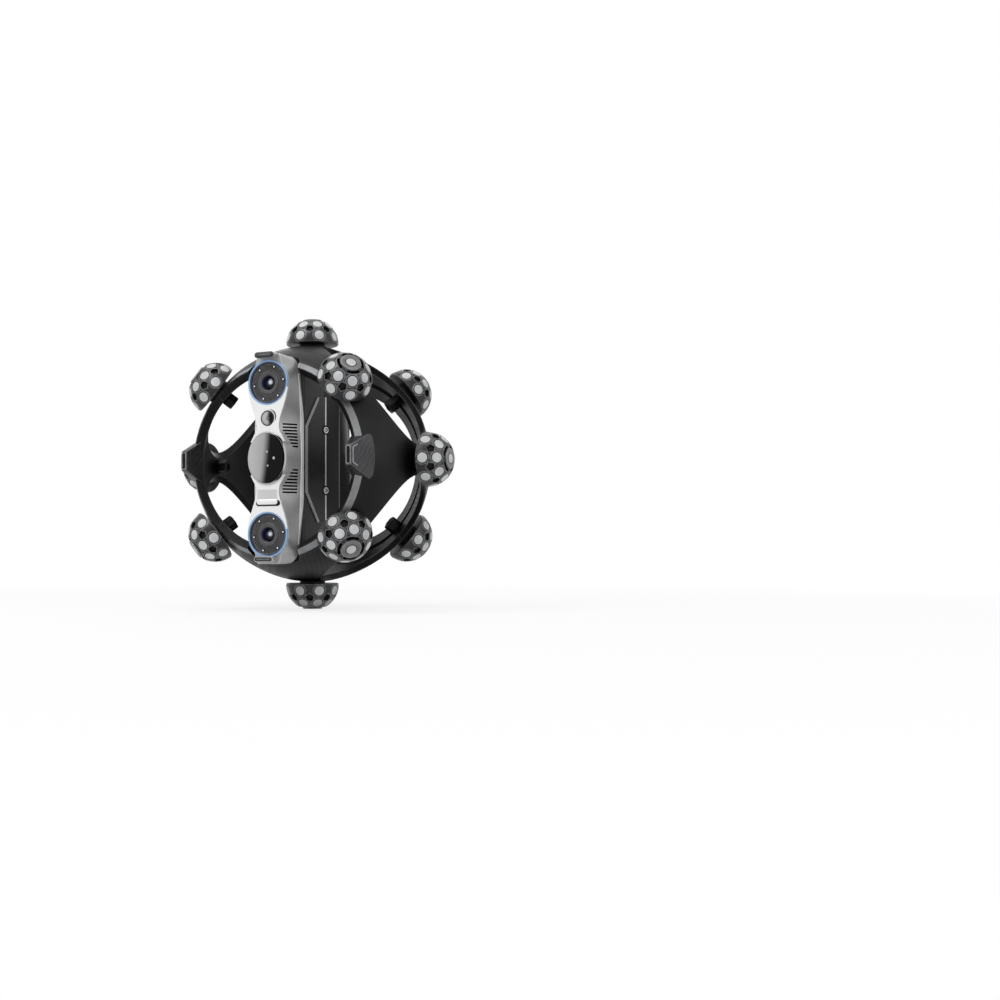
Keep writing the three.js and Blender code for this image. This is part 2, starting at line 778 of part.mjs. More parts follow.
// Cameras: a light ring round a dark plate with a raised collar and a lens.

function makeCameraFront(place, signZ) {
  const z = signZ * cameraHeight;
  const floorY = bodyFaceY + lightDepth - seatGap;
  const lightFrontY = bodyFaceY - lightProud;
  const lightInner = lightOuterRadius - lightWidth;
  const ring = [
    [lightInner, floorY],
    [lightInner, lightFrontY + lightWidth / 4],
    [lightInner + lightWidth / 4, lightFrontY],
    [lightOuterRadius - lightWidth / 4, lightFrontY],
    [lightOuterRadius, lightFrontY + lightWidth / 4],
    [lightOuterRadius, floorY],
    [lightInner, floorY],
  ];
  addPiece(`${place}_ring_light`, solid(turned(ring, roundSteps, z)), 'glow');
  const plateRadius = lightInner - seatGap;
  const plateY = floorY - lensPlateThickness;
  const collarY = plateY - lensCollarHeight;
  const seatY = collarY + lensBoreDepth;
  const throatRadius = cameraBarrelRadius - lensThroatStep;
  const plate = [
    [throatRadius, floorY],
    [plateRadius, floorY],
    [plateRadius, plateY],
    [lensCollarRadius, plateY],
    [lensCollarRadius - lensCollarHeight, collarY],
    [lensBoreRadius, collarY],
    [lensBoreRadius, seatY],
    [throatRadius, seatY],
    [throatRadius, floorY],
  ];
  addPiece(`${place}_lens_plate`, solid(turned(plate, roundSteps, z)), 'charcoal');
  const lensBackY = seatY - seatGap;
  const lens = [
    [0, lensBackY],
    [lensRadius, lensBackY],
    [lensRadius, collarY + lensCrown],
    [lensRadius * lensCrownShare, collarY],
    [0, collarY - lensCrown / 2],
  ];
  addPiece(`${place}_lens`, solid(turned(lens, lensSteps, z)), 'glass');
}

function makeFrontDetails() {
  makeFrontPlate('upper_front_plate', 1);
  makeFrontPlate('lower_front_plate', -1);
  makeCameraFront('upper', 1);
  makeCameraFront('lower', -1);
  const glassBackY = windowFloorY() - seatGap;
  const glassEdgeY = bodyFaceY - windowProud;
  addPiece('window_glass', solid(hullBetween(
    [glassBackY, ellipsePoints(windowHalfWidth, windowHalfHeight, ovalSteps)],
    [glassEdgeY, ellipsePoints(windowHalfWidth, windowHalfHeight, ovalSteps)],
    [glassEdgeY - windowGlassCrown, ellipsePoints(
      windowHalfWidth * windowCrownShare, windowHalfHeight * windowCrownShare, ovalSteps,
    )],
  )), 'glass');
  const finderBackY = bodyFaceY + finderSeatDepth - seatGap;
  const finderFrontY = bodyFaceY - plateThickness - finderProud;
  addPiece('finder_lens', solid(turned([
    [0, finderFrontY],
    [finderRadius * lensCrownShare, finderFrontY],
    [finderRadius, finderFrontY + finderProud],
    [finderRadius, finderBackY],
    [0, finderBackY],
  ], lensSteps, finderHeight)), 'glass');
  const laserBackY = bodyFaceY + laserSeatDepth - seatGap;
  const laserFrontY = bodyFaceY - plateThickness - laserProud;
  addPiece('laser_window', slabAlongY(laserOutline(), laserFrontY, laserBackY), 'bright');
  for (const [name, signZ] of [['top_insert', 1], ['bottom_insert', -1]]) {
    addPiece(name, slabAlongY(
      insertOutline(signZ), bodyFaceY - insertProud, bodyFaceY + insertDepth - seatGap,
    ), 'charcoal');
  }
}

// Middle and rear housing: charcoal cases that follow the inside of the cage.

function cageInside(radius) {
  return solid(new THREE.SphereGeometry(radius, sphereSegments, sphereRows).rotateX(Math.PI / 2));
}

function bodyLimit() {
  return cageRadius - cageRingWall - 2 * seatGap;
}

function sectionAt(halfWidth, grow = 0, halfHeight = cageRadius) {
  const width = halfWidth + grow;
  const height = halfHeight + grow;
  return [[-width, -height], [width, -height], [width, height], [-width, height]];
}

function makeMiddleHousing() {
  const frontY = bevelCornerY + seatGap;
  const outer = solid(hullBetween([frontY, sectionAt(bevelHalfWidth)], [seamY, sectionAt(seamHalfWidth)]));
  const inner = solid(hullBetween(
    [frontY - cutOverrun, sectionAt(bevelHalfWidth, -bodyWall)],
    [frontY, sectionAt(bevelHalfWidth, -bodyWall)],
    [seamY, sectionAt(seamHalfWidth, -bodyWall)],
    [seamY + cutOverrun, sectionAt(seamHalfWidth, -bodyWall)],
  ));
  const housing = outer.intersect(cageInside(bodyLimit()))
    .subtract(inner.intersect(cageInside(bodyLimit() - bodyWall)));
  addPiece('middle_housing', housing, 'charcoal');
}

function makeRearHousing() {
  const frontY = seamY + seatGap;
  const roundingY = bodyRearY - rearRounding;
  const rearHalfHeight = cageRadius - cagePetalWall - nutHeight - nutClearance;
  const outer = solid(hullBetween(
    [frontY, sectionAt(seamHalfWidth)],
    [roundingY, sectionAt(rearHalfWidth, 0, rearHalfHeight)],
    [bodyRearY, sectionAt(rearHalfWidth, -rearRounding, rearHalfHeight)],
  ));
  const wallY = bodyRearY - bodyWall;
  const inner = solid(hullBetween(
    [frontY - cutOverrun, sectionAt(seamHalfWidth, -bodyWall)],
    [roundingY, sectionAt(rearHalfWidth, -bodyWall, rearHalfHeight)],
    [wallY, sectionAt(rearHalfWidth, -rearRounding, rearHalfHeight)],
  ));
  let housing = outer.intersect(cageInside(bodyLimit()))
    .subtract(inner.intersect(cageInside(bodyLimit() - bodyWall)));
  for (const signX of sides) {
    for (const signZ of sides) {
      const post = rod(postRadius, boardY + boardThickness + seatGap, wallY + bodyWall / 2, postSegments);
      const place = [signX * (boardHalfWidth - postRadius), 0, signZ * (boardHalfHeight - postRadius)];
      housing = housing.add(solid(post.translate(...place)));
    }
  }
  addPiece('rear_housing', housing, 'charcoal');
}

// Side panels: raised plates on the flanks, cut to a point at the front.

function makeSidePanels() {
  const along = new THREE.Vector3(seamHalfWidth - bevelHalfWidth, seamY - bevelCornerY, 0);
  const length = along.length() - panelMargin / 2;
  along.normalize();
  const outward = new THREE.Vector3().crossVectors(along, up);
  const origin = new THREE.Vector3(bevelHalfWidth, bevelCornerY, 0).addScaledVector(outward, seatGap);
  const outline = [
    [panelMargin, -panelFrontHalfHeight],
    [panelMargin + panelShoulderDepth, -panelHalfHeight],
    [length, -panelHalfHeight],
    [length, panelHalfHeight],
    [panelMargin + panelShoulderDepth, panelHalfHeight],
    [panelMargin, panelFrontHalfHeight],
  ];
  const panel = slab(outline, panelThickness, along, up, origin);
  addPiece('right_side_panel', panel, 'charcoal');
  addPiece('left_side_panel', mirrored(panel), 'charcoal');
}

// Pieces inside the body

function makeInside() {
  const wallY = bodyFaceY + frontWallDepth + seatGap;
  const frameBox = (halfWidth, halfHeight, depth, z = 0) => boxBetween(
    [-halfWidth, wallY, z - halfHeight],
    [halfWidth, wallY + depth, z + halfHeight],
  );
  const engineBarrel = rod(engineBarrelRadius, windowFloorY() + seatGap, wallY + seatGap, lensSteps);
  const engine = solid(frameBox(engineHalfWidth, engineHalfHeight, engineDepth)).add(solid(engineBarrel));
  addPiece('projector_engine', engine, 'inner');
  for (const [name, signZ] of [['upper_camera_module', 1], ['lower_camera_module', -1]]) {
    const z = signZ * cameraHeight;
    const box = solid(frameBox(cameraBodyHalfWidth, cameraBodyHalfWidth, cameraBodyDepth, z));
    const barrelFrontY = bodyFaceY + lightDepth + seatGap;
    const barrel = solid(rod(cameraBarrelRadius, barrelFrontY, wallY + seatGap, lensSteps, z));
    addPiece(name, box.add(barrel), 'inner');
  }
  addPiece('main_board', boxBetween(
    [-boardHalfWidth, boardY, -boardHalfHeight],
    [boardHalfWidth, boardY + boardThickness, boardHalfHeight],
  ), 'board');
  const batteryBackY = bodyRearY - bodyWall - seatGap;
  addPiece('battery', boxBetween(
    [-batteryHalfWidth, batteryBackY - batteryDepth, -batteryHalfHeight],
    [batteryHalfWidth, batteryBackY, batteryHalfHeight],
  ), 'rubber');
}

// Hand grip: two half shells that form an oval column behind the body and
// reach forward to it above and below the hand.

function gripCentreY(z) {
  return gripSetback - gripLean * (z / gripHalfHeight);
}

function gripSection(z, grow = 0) {
  const outline = ellipsePoints(gripHalfWidth + grow, gripHalfDepth + grow, gripSteps);
  return [z, outline.map(([x, y]) => [x, y + gripCentreY(z)])];
}

function gripColumn(halfHeight, grow = 0) {
  return solid(hullUpwards(gripSection(-halfHeight, grow), gripSection(halfHeight, grow)));
}

function gripArm(signZ) {
  const rootY = bodyRearY + seatGap;
  const innerZ = signZ * (gripHalfHeight + gripArmRise);
  const outerZ = signZ * (gripHalfHeight + gripArmRise + gripArmHeight);
  const knuckleZ = signZ * gripHalfHeight;
  const capZ = signZ * (gripHalfHeight + gripCapHeight);
  const cap = ellipsePoints(gripHalfWidth * gripCapShare, gripHalfDepth * gripCapShare, gripSteps)
    .map(([x, y]) => [x, y + gripCentreY(knuckleZ)]);
  const root = (z) => [z, [[-gripArmHalfWidth, rootY], [gripArmHalfWidth, rootY]]];
  return solid(hullUpwards(gripSection(knuckleZ), [capZ, cap], root(innerZ), root(outerZ)));
}

// A flat panel on the back of the grip between two heights.
function gripBackPanel(lowZ, highZ, halfWidth, faceY) {
  return solid(boxBetween([-halfWidth, gripSetback, lowZ], [halfWidth, faceY, highZ]));
}

function buttonPanelLowZ() {
  return buttonHeight - buttonPitch - buttonRadius - 2 * gripPadThickness;
}

function buttonPanelY() {
  return gripCentreY(buttonPanelLowZ()) + gripHalfDepth;
}

function coverPanelY() {
  return gripCentreY(-gripHalfHeight) + gripHalfDepth + gripPadThickness;
}

function buttonPlaces() {
  return ['plus_button', 'power_button', 'minus_button'].map(
    (name, index) => [name, buttonHeight + (1 - index) * buttonPitch],
  );
}

function triggerOutline(grow = 0) {
  return roundedPoints(
    triggerHalfWidth + grow, triggerHalfHeight + grow, triggerCorner, cornerSteps, triggerHeight,
  );
}

function triggerFrontY() {
  return gripCentreY(triggerHeight) - gripHalfDepth - triggerProud;
}

function makeGrip() {
  const panelLowZ = buttonPanelLowZ();
  const panelHighZ = 2 * buttonHeight - panelLowZ;
  const coverLowZ = coverPinZ() - coverKnuckleRadius;
  const coverHighZ = coverPinZ() + coverHeight;
  const coverPanelHalfWidth = coverHalfWidth + coverEarWidth;
  let grip = gripColumn(gripHalfHeight).add(gripArm(1)).add(gripArm(-1));
  grip = grip.add(gripBackPanel(panelLowZ, panelHighZ, buttonPanelHalfWidth, buttonPanelY()));
  grip = grip.add(gripBackPanel(coverLowZ, coverHighZ, coverPanelHalfWidth, coverPanelY()));
  for (const [, z] of buttonPlaces()) {
    const floorY = buttonPanelY() - buttonDepth;
    const bore = rod(buttonRadius + buttonGap, floorY, buttonPanelY() + cutOverrun, lensSteps, z);
    grip = grip.subtract(solid(bore));
  }
  const pocketBackY = triggerFrontY() + triggerProud + triggerDepth + triggerTravel;
  const pocketFrontY = triggerFrontY() - cutOverrun;
  grip = grip.subtract(solid(slabAlongY(triggerOutline(buttonGap), pocketFrontY, pocketBackY)));
  grip = grip.subtract(solid(boxBetween(
    [-socketHalfWidth, coverPanelY() - socketDepth, socketMiddleZ() - socketHeight / 2],
    [socketHalfWidth, coverPanelY() + cutOverrun, socketMiddleZ() + socketHeight / 2],
  )));
  grip = grip.add(coverEars());
  const reach = 2 * cageRadius;
  for (const [name, sign] of [['left_grip_shell', -1], ['right_grip_shell', 1]]) {
    const nearX = sign * gripSplitGap / 2;
    const farX = sign * reach;
    const low = [Math.min(nearX, farX), -reach, -reach];
    const half = boxBetween(low, [Math.max(nearX, farX), reach, reach]);
    addPiece(name, grip.intersect(solid(half)), 'charcoal');
  }
  makeGripPad();
}

// A rubber pad wraps the front and flanks of the column below the trigger.
function makeGripPad() {
  const topZ = triggerHeight - triggerHalfHeight - buttonGap - gripPadThickness;
  const sleeve = gripColumn(gripPadHalfHeight, gripPadThickness + seatGap)
    .subtract(gripColumn(gripHalfHeight, seatGap));
  const reach = 2 * cageRadius;
  const keep = solid(boxBetween([-reach, -reach, -gripPadHalfHeight], [reach, gripSetback, topZ]));
  addPiece('grip_pad', sleeve.intersect(keep), 'rubber');
}

// Buttons

function makeButtons() {
  for (const [name, z] of buttonPlaces()) {
    const backY = buttonPanelY() + buttonProud;
    const frontY = buttonPanelY() - buttonDepth + buttonTravel + buttonGap;
    addPiece(name, solid(turned([
      [0, frontY],
      [buttonRadius, frontY],
      [buttonRadius, backY - buttonProud / 4],
      [buttonRadius - buttonProud / 4, backY],
      [0, backY],
    ], lensSteps, z)), 'button');
  }
  const frontY = triggerFrontY();
  const backY = frontY + triggerProud + triggerDepth - buttonGap;
  const grown = triggerOutline();
  const nose = roundedPoints(
    triggerHalfWidth * triggerNoseShare,
    triggerHalfHeight * triggerNoseShare,
    triggerNoseCorner,
    cornerSteps,
    triggerHeight,
  );
  addPiece('scan_trigger', hullBetween(
    [frontY, nose],
    [frontY + triggerProud / 2, grown],
    [backY, grown],
  ), 'button');
}

// Socket cover: a flap on a pin below the socket, between two ears.

function coverPinZ() {
  return -gripHalfHeight - coverDrop;
}

function socketMiddleZ() {
  return coverPinZ() + coverHeight / 2;
}

function coverPinY() {
  return coverPanelY() + seatGap + coverKnuckleRadius;
}

function crossRod(radius, lowX, highX, segments) {
  const geometry = new THREE.CylinderGeometry(radius, radius, highX - lowX, segments);
  return geometry.rotateZ(Math.PI / 2).translate((lowX + highX) / 2, coverPinY(), coverPinZ());
}

function coverEars() {
  const ears = solid(earGeometry(1)).add(solid(earGeometry(-1)));
  const boreHalf = coverHalfWidth + 2 * coverEarWidth;
  const bore = crossRod(coverPinRadius + pinClearance, -boreHalf, boreHalf, pinSegments);
  return ears.subtract(solid(bore));
}

function earGeometry(sign) {
  const inner = sign * (coverHalfWidth + buttonGap - coverKnuckleInset);
  const outer = sign * (coverHalfWidth + coverEarWidth);
  return boxBetween(
    [Math.min(inner, outer), coverPanelY() - coverEarWidth, coverPinZ() - coverKnuckleRadius],
    [Math.max(inner, outer), coverPinY() + coverKnuckleRadius, coverPinZ() + coverKnuckleRadius],
  );
}

function makeCover() {
  const flapY = coverPinY() - coverThickness / 2;
  const knuckleHalf = coverHalfWidth - coverKnuckleInset;
  const flapLowZ = coverPinZ() + coverKnuckleRadius * Math.SQRT2 + buttonGap;
  const flap = solid(boxBetween(
    [-coverHalfWidth, flapY, flapLowZ],
    [coverHalfWidth, flapY + coverThickness, coverPinZ() + coverHeight],
  ));
  const neck = solid(boxBetween(
    [-knuckleHalf, flapY, coverPinZ()],
    [knuckleHalf, flapY + coverThickness, flapLowZ + coverThickness],
  ));
  const knuckle = solid(crossRod(coverKnuckleRadius, -knuckleHalf, knuckleHalf, lensSteps));
  const bore = solid(crossRod(coverPinRadius + pinClearance, -coverHalfWidth, coverHalfWidth, pinSegments));
  addPiece('socket_cover', flap.add(neck).add(knuckle).subtract(bore), 'button');
  addPiece('cover_pin', crossRod(
    coverPinRadius, -coverHalfWidth - coverEarWidth, coverHalfWidth + coverEarWidth, pinSegments,
  ), 'inner');
}

makeCage();
makeDomes();
makeFrontHousing();
makeFrontDetails();
makeMiddleHousing();
makeRearHousing();
makeSidePanels();
makeInside();
makeGrip();
makeButtons();
makeCover();

export default part;
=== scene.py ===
# %% [markdown]
# This lesson dresses a handheld three-d scanner: a slim camera body inside an
# open round cage that carries domed marker targets. The solids come in as a
# frame with named bodies, and each piece made here rides on one of them.

import math

import bmesh
import bpy
from mathutils import Matrix, Vector


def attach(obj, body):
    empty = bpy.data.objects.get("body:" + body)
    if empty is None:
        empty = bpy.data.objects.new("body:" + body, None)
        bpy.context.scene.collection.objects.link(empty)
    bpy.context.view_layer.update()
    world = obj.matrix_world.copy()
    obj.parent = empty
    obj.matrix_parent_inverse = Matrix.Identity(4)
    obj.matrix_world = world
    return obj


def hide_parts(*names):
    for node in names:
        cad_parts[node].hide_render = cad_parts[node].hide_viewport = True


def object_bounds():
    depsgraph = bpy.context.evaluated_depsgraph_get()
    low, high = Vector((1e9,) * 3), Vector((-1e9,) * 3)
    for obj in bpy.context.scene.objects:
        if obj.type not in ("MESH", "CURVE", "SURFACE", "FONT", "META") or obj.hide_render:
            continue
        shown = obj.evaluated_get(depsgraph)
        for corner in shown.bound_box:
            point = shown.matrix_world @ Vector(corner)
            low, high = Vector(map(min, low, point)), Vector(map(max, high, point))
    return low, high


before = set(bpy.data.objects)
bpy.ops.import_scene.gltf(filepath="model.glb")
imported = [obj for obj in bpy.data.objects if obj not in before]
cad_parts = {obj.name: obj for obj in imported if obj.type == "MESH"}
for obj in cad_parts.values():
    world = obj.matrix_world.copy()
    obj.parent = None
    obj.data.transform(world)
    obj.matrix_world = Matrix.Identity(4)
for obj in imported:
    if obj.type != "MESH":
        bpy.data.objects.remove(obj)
solid_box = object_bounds()

# %% [markdown]
# All sizes below are in millimetres from the middle of the cage, because every
# part of the cage is round about that point. Blender works in metres, so one
# helper turns a point into metres and moves it to the grip's frame.

# %% Sizes and places
MM = 0.001
CAGE = 113.0
GRIP_BACK = CAGE * 0.3982
CENTRE = Vector((0.0, -GRIP_BACK, 0.0))
UP = Vector((0, 0, 1))
BOTH = (-1, 1)


def metres(point):
    return (Vector(point) + CENTRE) * MM


def mixed(start, end, share):
    return start + (end - start) * share


def girth_depth(radius, girth):
    """How deep a sphere reaches where it is this wide, or the other way round."""
    return math.sqrt(radius * radius - girth * girth)


print("cage diameter", 2 * CAGE, "mm")

# %% [markdown]
# A mesh is only points and faces, and such a pair is called a form here. This
# helper makes a piece of a form, gives it its finishes, its body and the nodes
# it stands for, and shades it smooth with sharp edges where faces meet at more
# than a set angle, as a casting with crisp edges would look.

# %% Making a piece
SHARP = math.radians(32)


def shaded(mesh):
    mesh.shade_smooth()
    mesh.set_sharp_from_angle(angle=SHARP)
    return mesh


def piece(name, form, finishes, slot=None, *nodes, body="scanner", slots=None, local=False):
    points, faces = form
    mesh = bpy.data.meshes.new(name)
    places = [[MM * value for value in point] if local else metres(point) for point in points]
    mesh.from_pydata([tuple(place) for place in places], [], faces)
    for finish in finishes if isinstance(finishes, list) else [finishes]:
        mesh.materials.append(finish.material)
    if slots:
        mesh.polygons.foreach_set("material_index", slots)
    tidy = bmesh.new()
    tidy.from_mesh(mesh)
    bmesh.ops.remove_doubles(tidy, verts=tidy.verts, dist=0.000002)
    bmesh.ops.recalc_face_normals(tidy, faces=tidy.faces)
    tidy.to_mesh(mesh)
    tidy.free()
    made = bpy.data.objects.new(name, shaded(mesh))
    bpy.context.scene.collection.objects.link(made)
    return settled(made, slot, *nodes, body=body)


def settled(made, slot, *nodes, body="scanner"):
    if body:
        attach(made, body)
    if nodes:
        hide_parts(*nodes)
    return made


print("edges stay sharp above", round(math.degrees(SHARP)), "degrees")

# %% [markdown]
# Real edges are never knife-sharp: a small rounded edge catches the light and
# shows the form. It could be modelled by hand, but a bevel modifier on the sharp
# edges does it evenly, and weighted normals keep the large faces flat beside it.

# %% Rounding edges
EDGE_ANGLE = 30


def rounded(made, width, steps, angle=EDGE_ANGLE):
    bevel = made.modifiers.new("rounded_edges", "BEVEL")
    bevel.width = width * MM
    bevel.segments = steps
    bevel.limit_method = "ANGLE"
    bevel.angle_limit = math.radians(angle)
    bevel.use_clamp_overlap = True
    bevel.miter_outer = "MITER_ARC"
    normals = made.modifiers.new("flat_faces", "WEIGHTED_NORMAL")
    normals.keep_sharp = True
    normals.weight = 80
    return made


print("edges above", EDGE_ANGLE, "degrees can be rounded")

# %% [markdown]
# Most pieces are turned on a lathe, pressed as a flat plate, or drawn from one
# outline to the next. A lathe is a drawing too, from ring to ring, so one helper
# joins loops of points, and the others only say what the loops are.

# %% Drawn and turned forms
def arc(start, sweep, steps):
    """Cosine and sine of evenly spaced angles, with both ends."""
    angles = [start + sweep * k / steps for k in range(steps + 1)]
    return [(math.cos(angle), math.sin(angle)) for angle in angles]


def around(steps):
    return arc(0, math.tau, steps)[:-1]


def drawn_form(loops, closed_ends=True):
    """Loops of points with the same count, joined one to the next."""
    count = len(loops[0])
    points = [point for loop in loops for point in loop]
    faces = []
    for row in range(len(loops) - 1):
        for index in range(count):
            after = (index + 1) % count
            faces.append((row * count + index, row * count + after,
                          (row + 1) * count + after, (row + 1) * count + index))
    if closed_ends:
        last = (len(loops) - 1) * count
        faces.append(tuple(range(count)))
        faces.append(tuple(range(last + count - 1, last - 1, -1)))
    return points, faces


def turned_form(profile, steps=48, z=0.0):
    """A profile of (radius, y) turned about the front-to-back axis at height z."""
    loops = [[(radius * across, y, z + radius * rise) for across, rise in around(steps)]
             for radius, y in profile]
    return drawn_form(loops, closed_ends=False)


def joined(forms):
    """One form from several."""
    points, faces = [], []
    for some_points, some_faces in forms:
        start = len(points)
        points += some_points
        faces += [tuple(start + v for v in face) for face in some_faces]
    return points, faces


def shifted(form, x, z):
    points, faces = form
    return [(px + x, y, pz + z) for px, y, pz in points], faces


print("points in a cone of eight steps", len(turned_form([(1, 0), (0, 1)], 8)[0]))

# %% [markdown]
# Lenses and windows are ovals, and slots and inserts are pills: a box with round
# ends. Both are outlines seen from the front, set one behind the other.

# %% Ovals and pills
def oval(half_width, half_height, steps=64, z=0.0):
    return [(half_width * across, z + half_height * rise) for across, rise in around(steps)]


def pill(half_width, half_height, corner, steps=8, z=0.0):
    points = []
    for quarter, (side, rise) in enumerate([(1, 1), (-1, 1), (-1, -1), (1, -1)]):
        for across, up in arc(quarter * math.pi / 2, math.pi / 2, steps):
            points.append((side * (half_width - corner) + corner * across,
                           z + rise * (half_height - corner) + corner * up))
    return points


def at_depth(outline, y):
    return [(x, y, z) for x, z in outline]


def pill_form(levels, z, steps=8):
    """Pills drawn one to the next, each with half width, half height, corner and y."""
    return drawn_form([at_depth(pill(wide, tall, corner, steps, z), y)
                       for wide, tall, corner, y in levels])


def oval_form(levels, closed_ends=True, steps=96):
    return drawn_form([at_depth(oval(wide, tall, steps), y) for wide, tall, y in levels], closed_ends)


def box_form(low, high):
    corners = [(low[0], low[1]), (high[0], low[1]), (high[0], high[1]), (low[0], high[1])]
    return drawn_form([[(x, y, z) for x, y in corners] for z in (low[2], high[2])])


print("points in a pill", len(pill(2, 1, 1)))

# %% [markdown]
# Holes, slots and notches could be planned into a mesh face by face. A boolean
# is simpler: a second mesh is taken away from the first, or joined to it. The
# second mesh never shows, so it is deleted when its work is done.

# %% Cutting and joining
def combined(made, operation, tools):
    for tool in tools:
        boolean = made.modifiers.new("combine", "BOOLEAN")
        boolean.operation = operation
        boolean.solver = "EXACT"
        boolean.object = tool
    depsgraph = bpy.context.evaluated_depsgraph_get()
    shaped = bpy.data.meshes.new_from_object(made.evaluated_get(depsgraph))
    old = made.data
    made.modifiers.clear()
    made.data = shaped
    shaped.name = old.name
    for spent in [old] + [tool.data for tool in tools]:
        bpy.data.meshes.remove(spent)
    shaded(shaped)
    return made


def cut(made, *tools):
    return combined(made, "DIFFERENCE", tools)


def cutter(forms, finishes, local=False):
    """Forms to cut with, whose walls take the last of the finishes."""
    form = joined(forms)
    slots = [len(finishes) - 1] * len(form[1])
    return piece("cutter", form, finishes, body=None, slots=slots, local=local)


def added(made, forms, finish):
    return combined(made, "UNION", [piece("addition", form, finish, body=None) for form in forms])


print("helpers for forms are ready")

# %% [markdown]
# Shader maths reads best as ordinary sums. One small class wraps a socket, and
# its operators add the Math nodes that work the sum out. Numbers alone stay in
# Python. Every other node comes from one method of the tree.

# %% Sums on sockets
class Wire:
    def __init__(self, nodes, socket):
        self.nodes = nodes
        self.socket = socket

    def __add__(self, other):
        return self.nodes.maths("ADD", self, other)

    def __sub__(self, other):
        return self.nodes.maths("SUBTRACT", self, other)

    def __rsub__(self, other):
        return self.nodes.maths("SUBTRACT", other, self)

    def __mul__(self, other):
        return self.nodes.maths("MULTIPLY", self, other)

    __radd__ = __add__
    __rmul__ = __mul__


class Nodes:
    """A node tree, and the ways to add to it that the finishes share."""

    def __init__(self, tree):
        self.tree = tree

    def fill(self, target, value):
        if isinstance(value, Wire):
            self.tree.links.new(value.socket, target)
        else:
            target.default_value = value

    def node(self, kind, settings=None, sockets=None, output=0):
        made = self.tree.nodes.new(kind)
        for key, value in (settings or {}).items():
            if key == "stops":
                elements = made.color_ramp.elements
                while len(elements) < len(value):
                    elements.new(0.5)
                for element, (place, level) in zip(elements, value):
                    element.position = place
                    element.color = (level, level, level, 1.0)
            else:
                setattr(made, key, value)
        for key, value in (sockets or {}).items():
            self.fill(made.inputs[key], value)
        return Wire(self, made.outputs[output])

    def maths(self, operation, *values):
        return self.node("ShaderNodeMath", {"operation": operation}, dict(enumerate(values)))

    def place(self):
        return self.node("ShaderNodeTexCoord", output="Object")

    def axes(self):
        parts = self.node("ShaderNodeSeparateXYZ", None, {0: self.place()})
        return [Wire(self, output) for output in parts.socket.node.outputs]

    def stretched(self, factors):
        sockets = {0: self.place(), 1: factors}
        return self.node("ShaderNodeVectorMath", {"operation": "MULTIPLY"}, sockets)

    def noise(self, scale, detail=3.0, rough=0.5, at=None):
        sockets = {"Vector": at or self.place(), "Scale": scale, "Detail": detail, "Roughness": rough}
        return self.node("ShaderNodeTexNoise", None, sockets)

    def waves(self, scale, distortion, detail, at=None, profile="SIN", detail_scale=1.0):
        settings = {"wave_type": "BANDS", "bands_direction": "DIAGONAL", "wave_profile": profile}
        sockets = {"Vector": at or self.place(), "Scale": scale, "Distortion": distortion,
                   "Detail": detail, "Detail Scale": detail_scale}
        return self.node("ShaderNodeTexWave", settings, sockets)

    def ramp(self, value, *stops):
        return self.node("ShaderNodeValToRGB", {"stops": stops}, {0: value})

    def mask(self, value, low, high):
        """0 below low, 1 above high, with a smooth step between them."""
        settings = {"interpolation_type": "SMOOTHSTEP", "clamp": True}
        return self.node("ShaderNodeMapRange", settings, {0: value, 1: low, 2: high, 3: 0.0, 4: 1.0})

    def blend(self, factor, *colours):
        sides = [colour if isinstance(colour, Wire) else (*colour, 1.0) for colour in colours]
        settings = {"data_type": "RGBA", "clamp_factor": True}
        return self.node("ShaderNodeMix", settings, {0: factor, 6: sides[0], 7: sides[1]}, output=2)

    def bump(self, height, strength=0.2, distance=0.0002, over=None):
        sockets = {"Strength": strength, "Distance": distance, "Height": height}
        if over is not None:
            sockets["Normal"] = over
        return self.node("ShaderNodeBump", None, sockets)

    def worn_edges(self, radius=0.0012, low=0.93, high=0.99):
        """Near 1 on outer edges and 0 elsewhere, from how far the rounded normal turns."""
        soft = self.node("ShaderNodeBevel", {"samples": 4}, {"Radius": radius})
        flat = self.node("ShaderNodeNewGeometry", output="Normal")
        sides = {0: soft, 1: flat}
        match = self.node("ShaderNodeVectorMath", {"operation": "DOT_PRODUCT"}, sides, output=1)
        return self.ramp(match, (low, 1.0), (high, 0.0))


print("sums on sockets are ready")

# %% [markdown]
# A finish is a material with a Principled shader. What is the same all over is
# set on the shader's own sockets, because only what varies needs nodes.
# Colours are written as they look on a screen, from 0 to 1, and turned into the
# linear light that Blender works in.

# %% Finishes and colours
class Finish(Nodes):
    def __init__(self, name, colour, roughness=0.5, metallic=0.0, **fixed):
        self.material = bpy.data.materials.new(name)
        self.material.use_nodes = True
        super().__init__(self.material.node_tree)
        self.shader = self.tree.nodes["Principled BSDF"]
        self.material.diffuse_color = (*colour, 1.0)
        self.set(**{"Base_Color": (*colour, 1.0), "Roughness": roughness, "Metallic": metallic, **fixed})

    def set(self, **values):
        for words, value in values.items():
            self.fill(self.shader.inputs[words.replace("_", " ")], value)
        return self


def shade(red, green=None, blue=None):
    levels = (red, red if green is None else green, red if blue is None else blue)
    return tuple(((level + 0.055) / 1.055) ** 2.4 for level in levels)


print("middle grey in linear light", round(shade(0.5)[0], 3))

# %% [markdown]
# Every moulded or cast surface has a little mottling, a fine grain, edges worn
# paler and a roughness that is not even. A scanned texture would show this too,
# but noise needs no image and has no seams, so one method gives it to a finish.

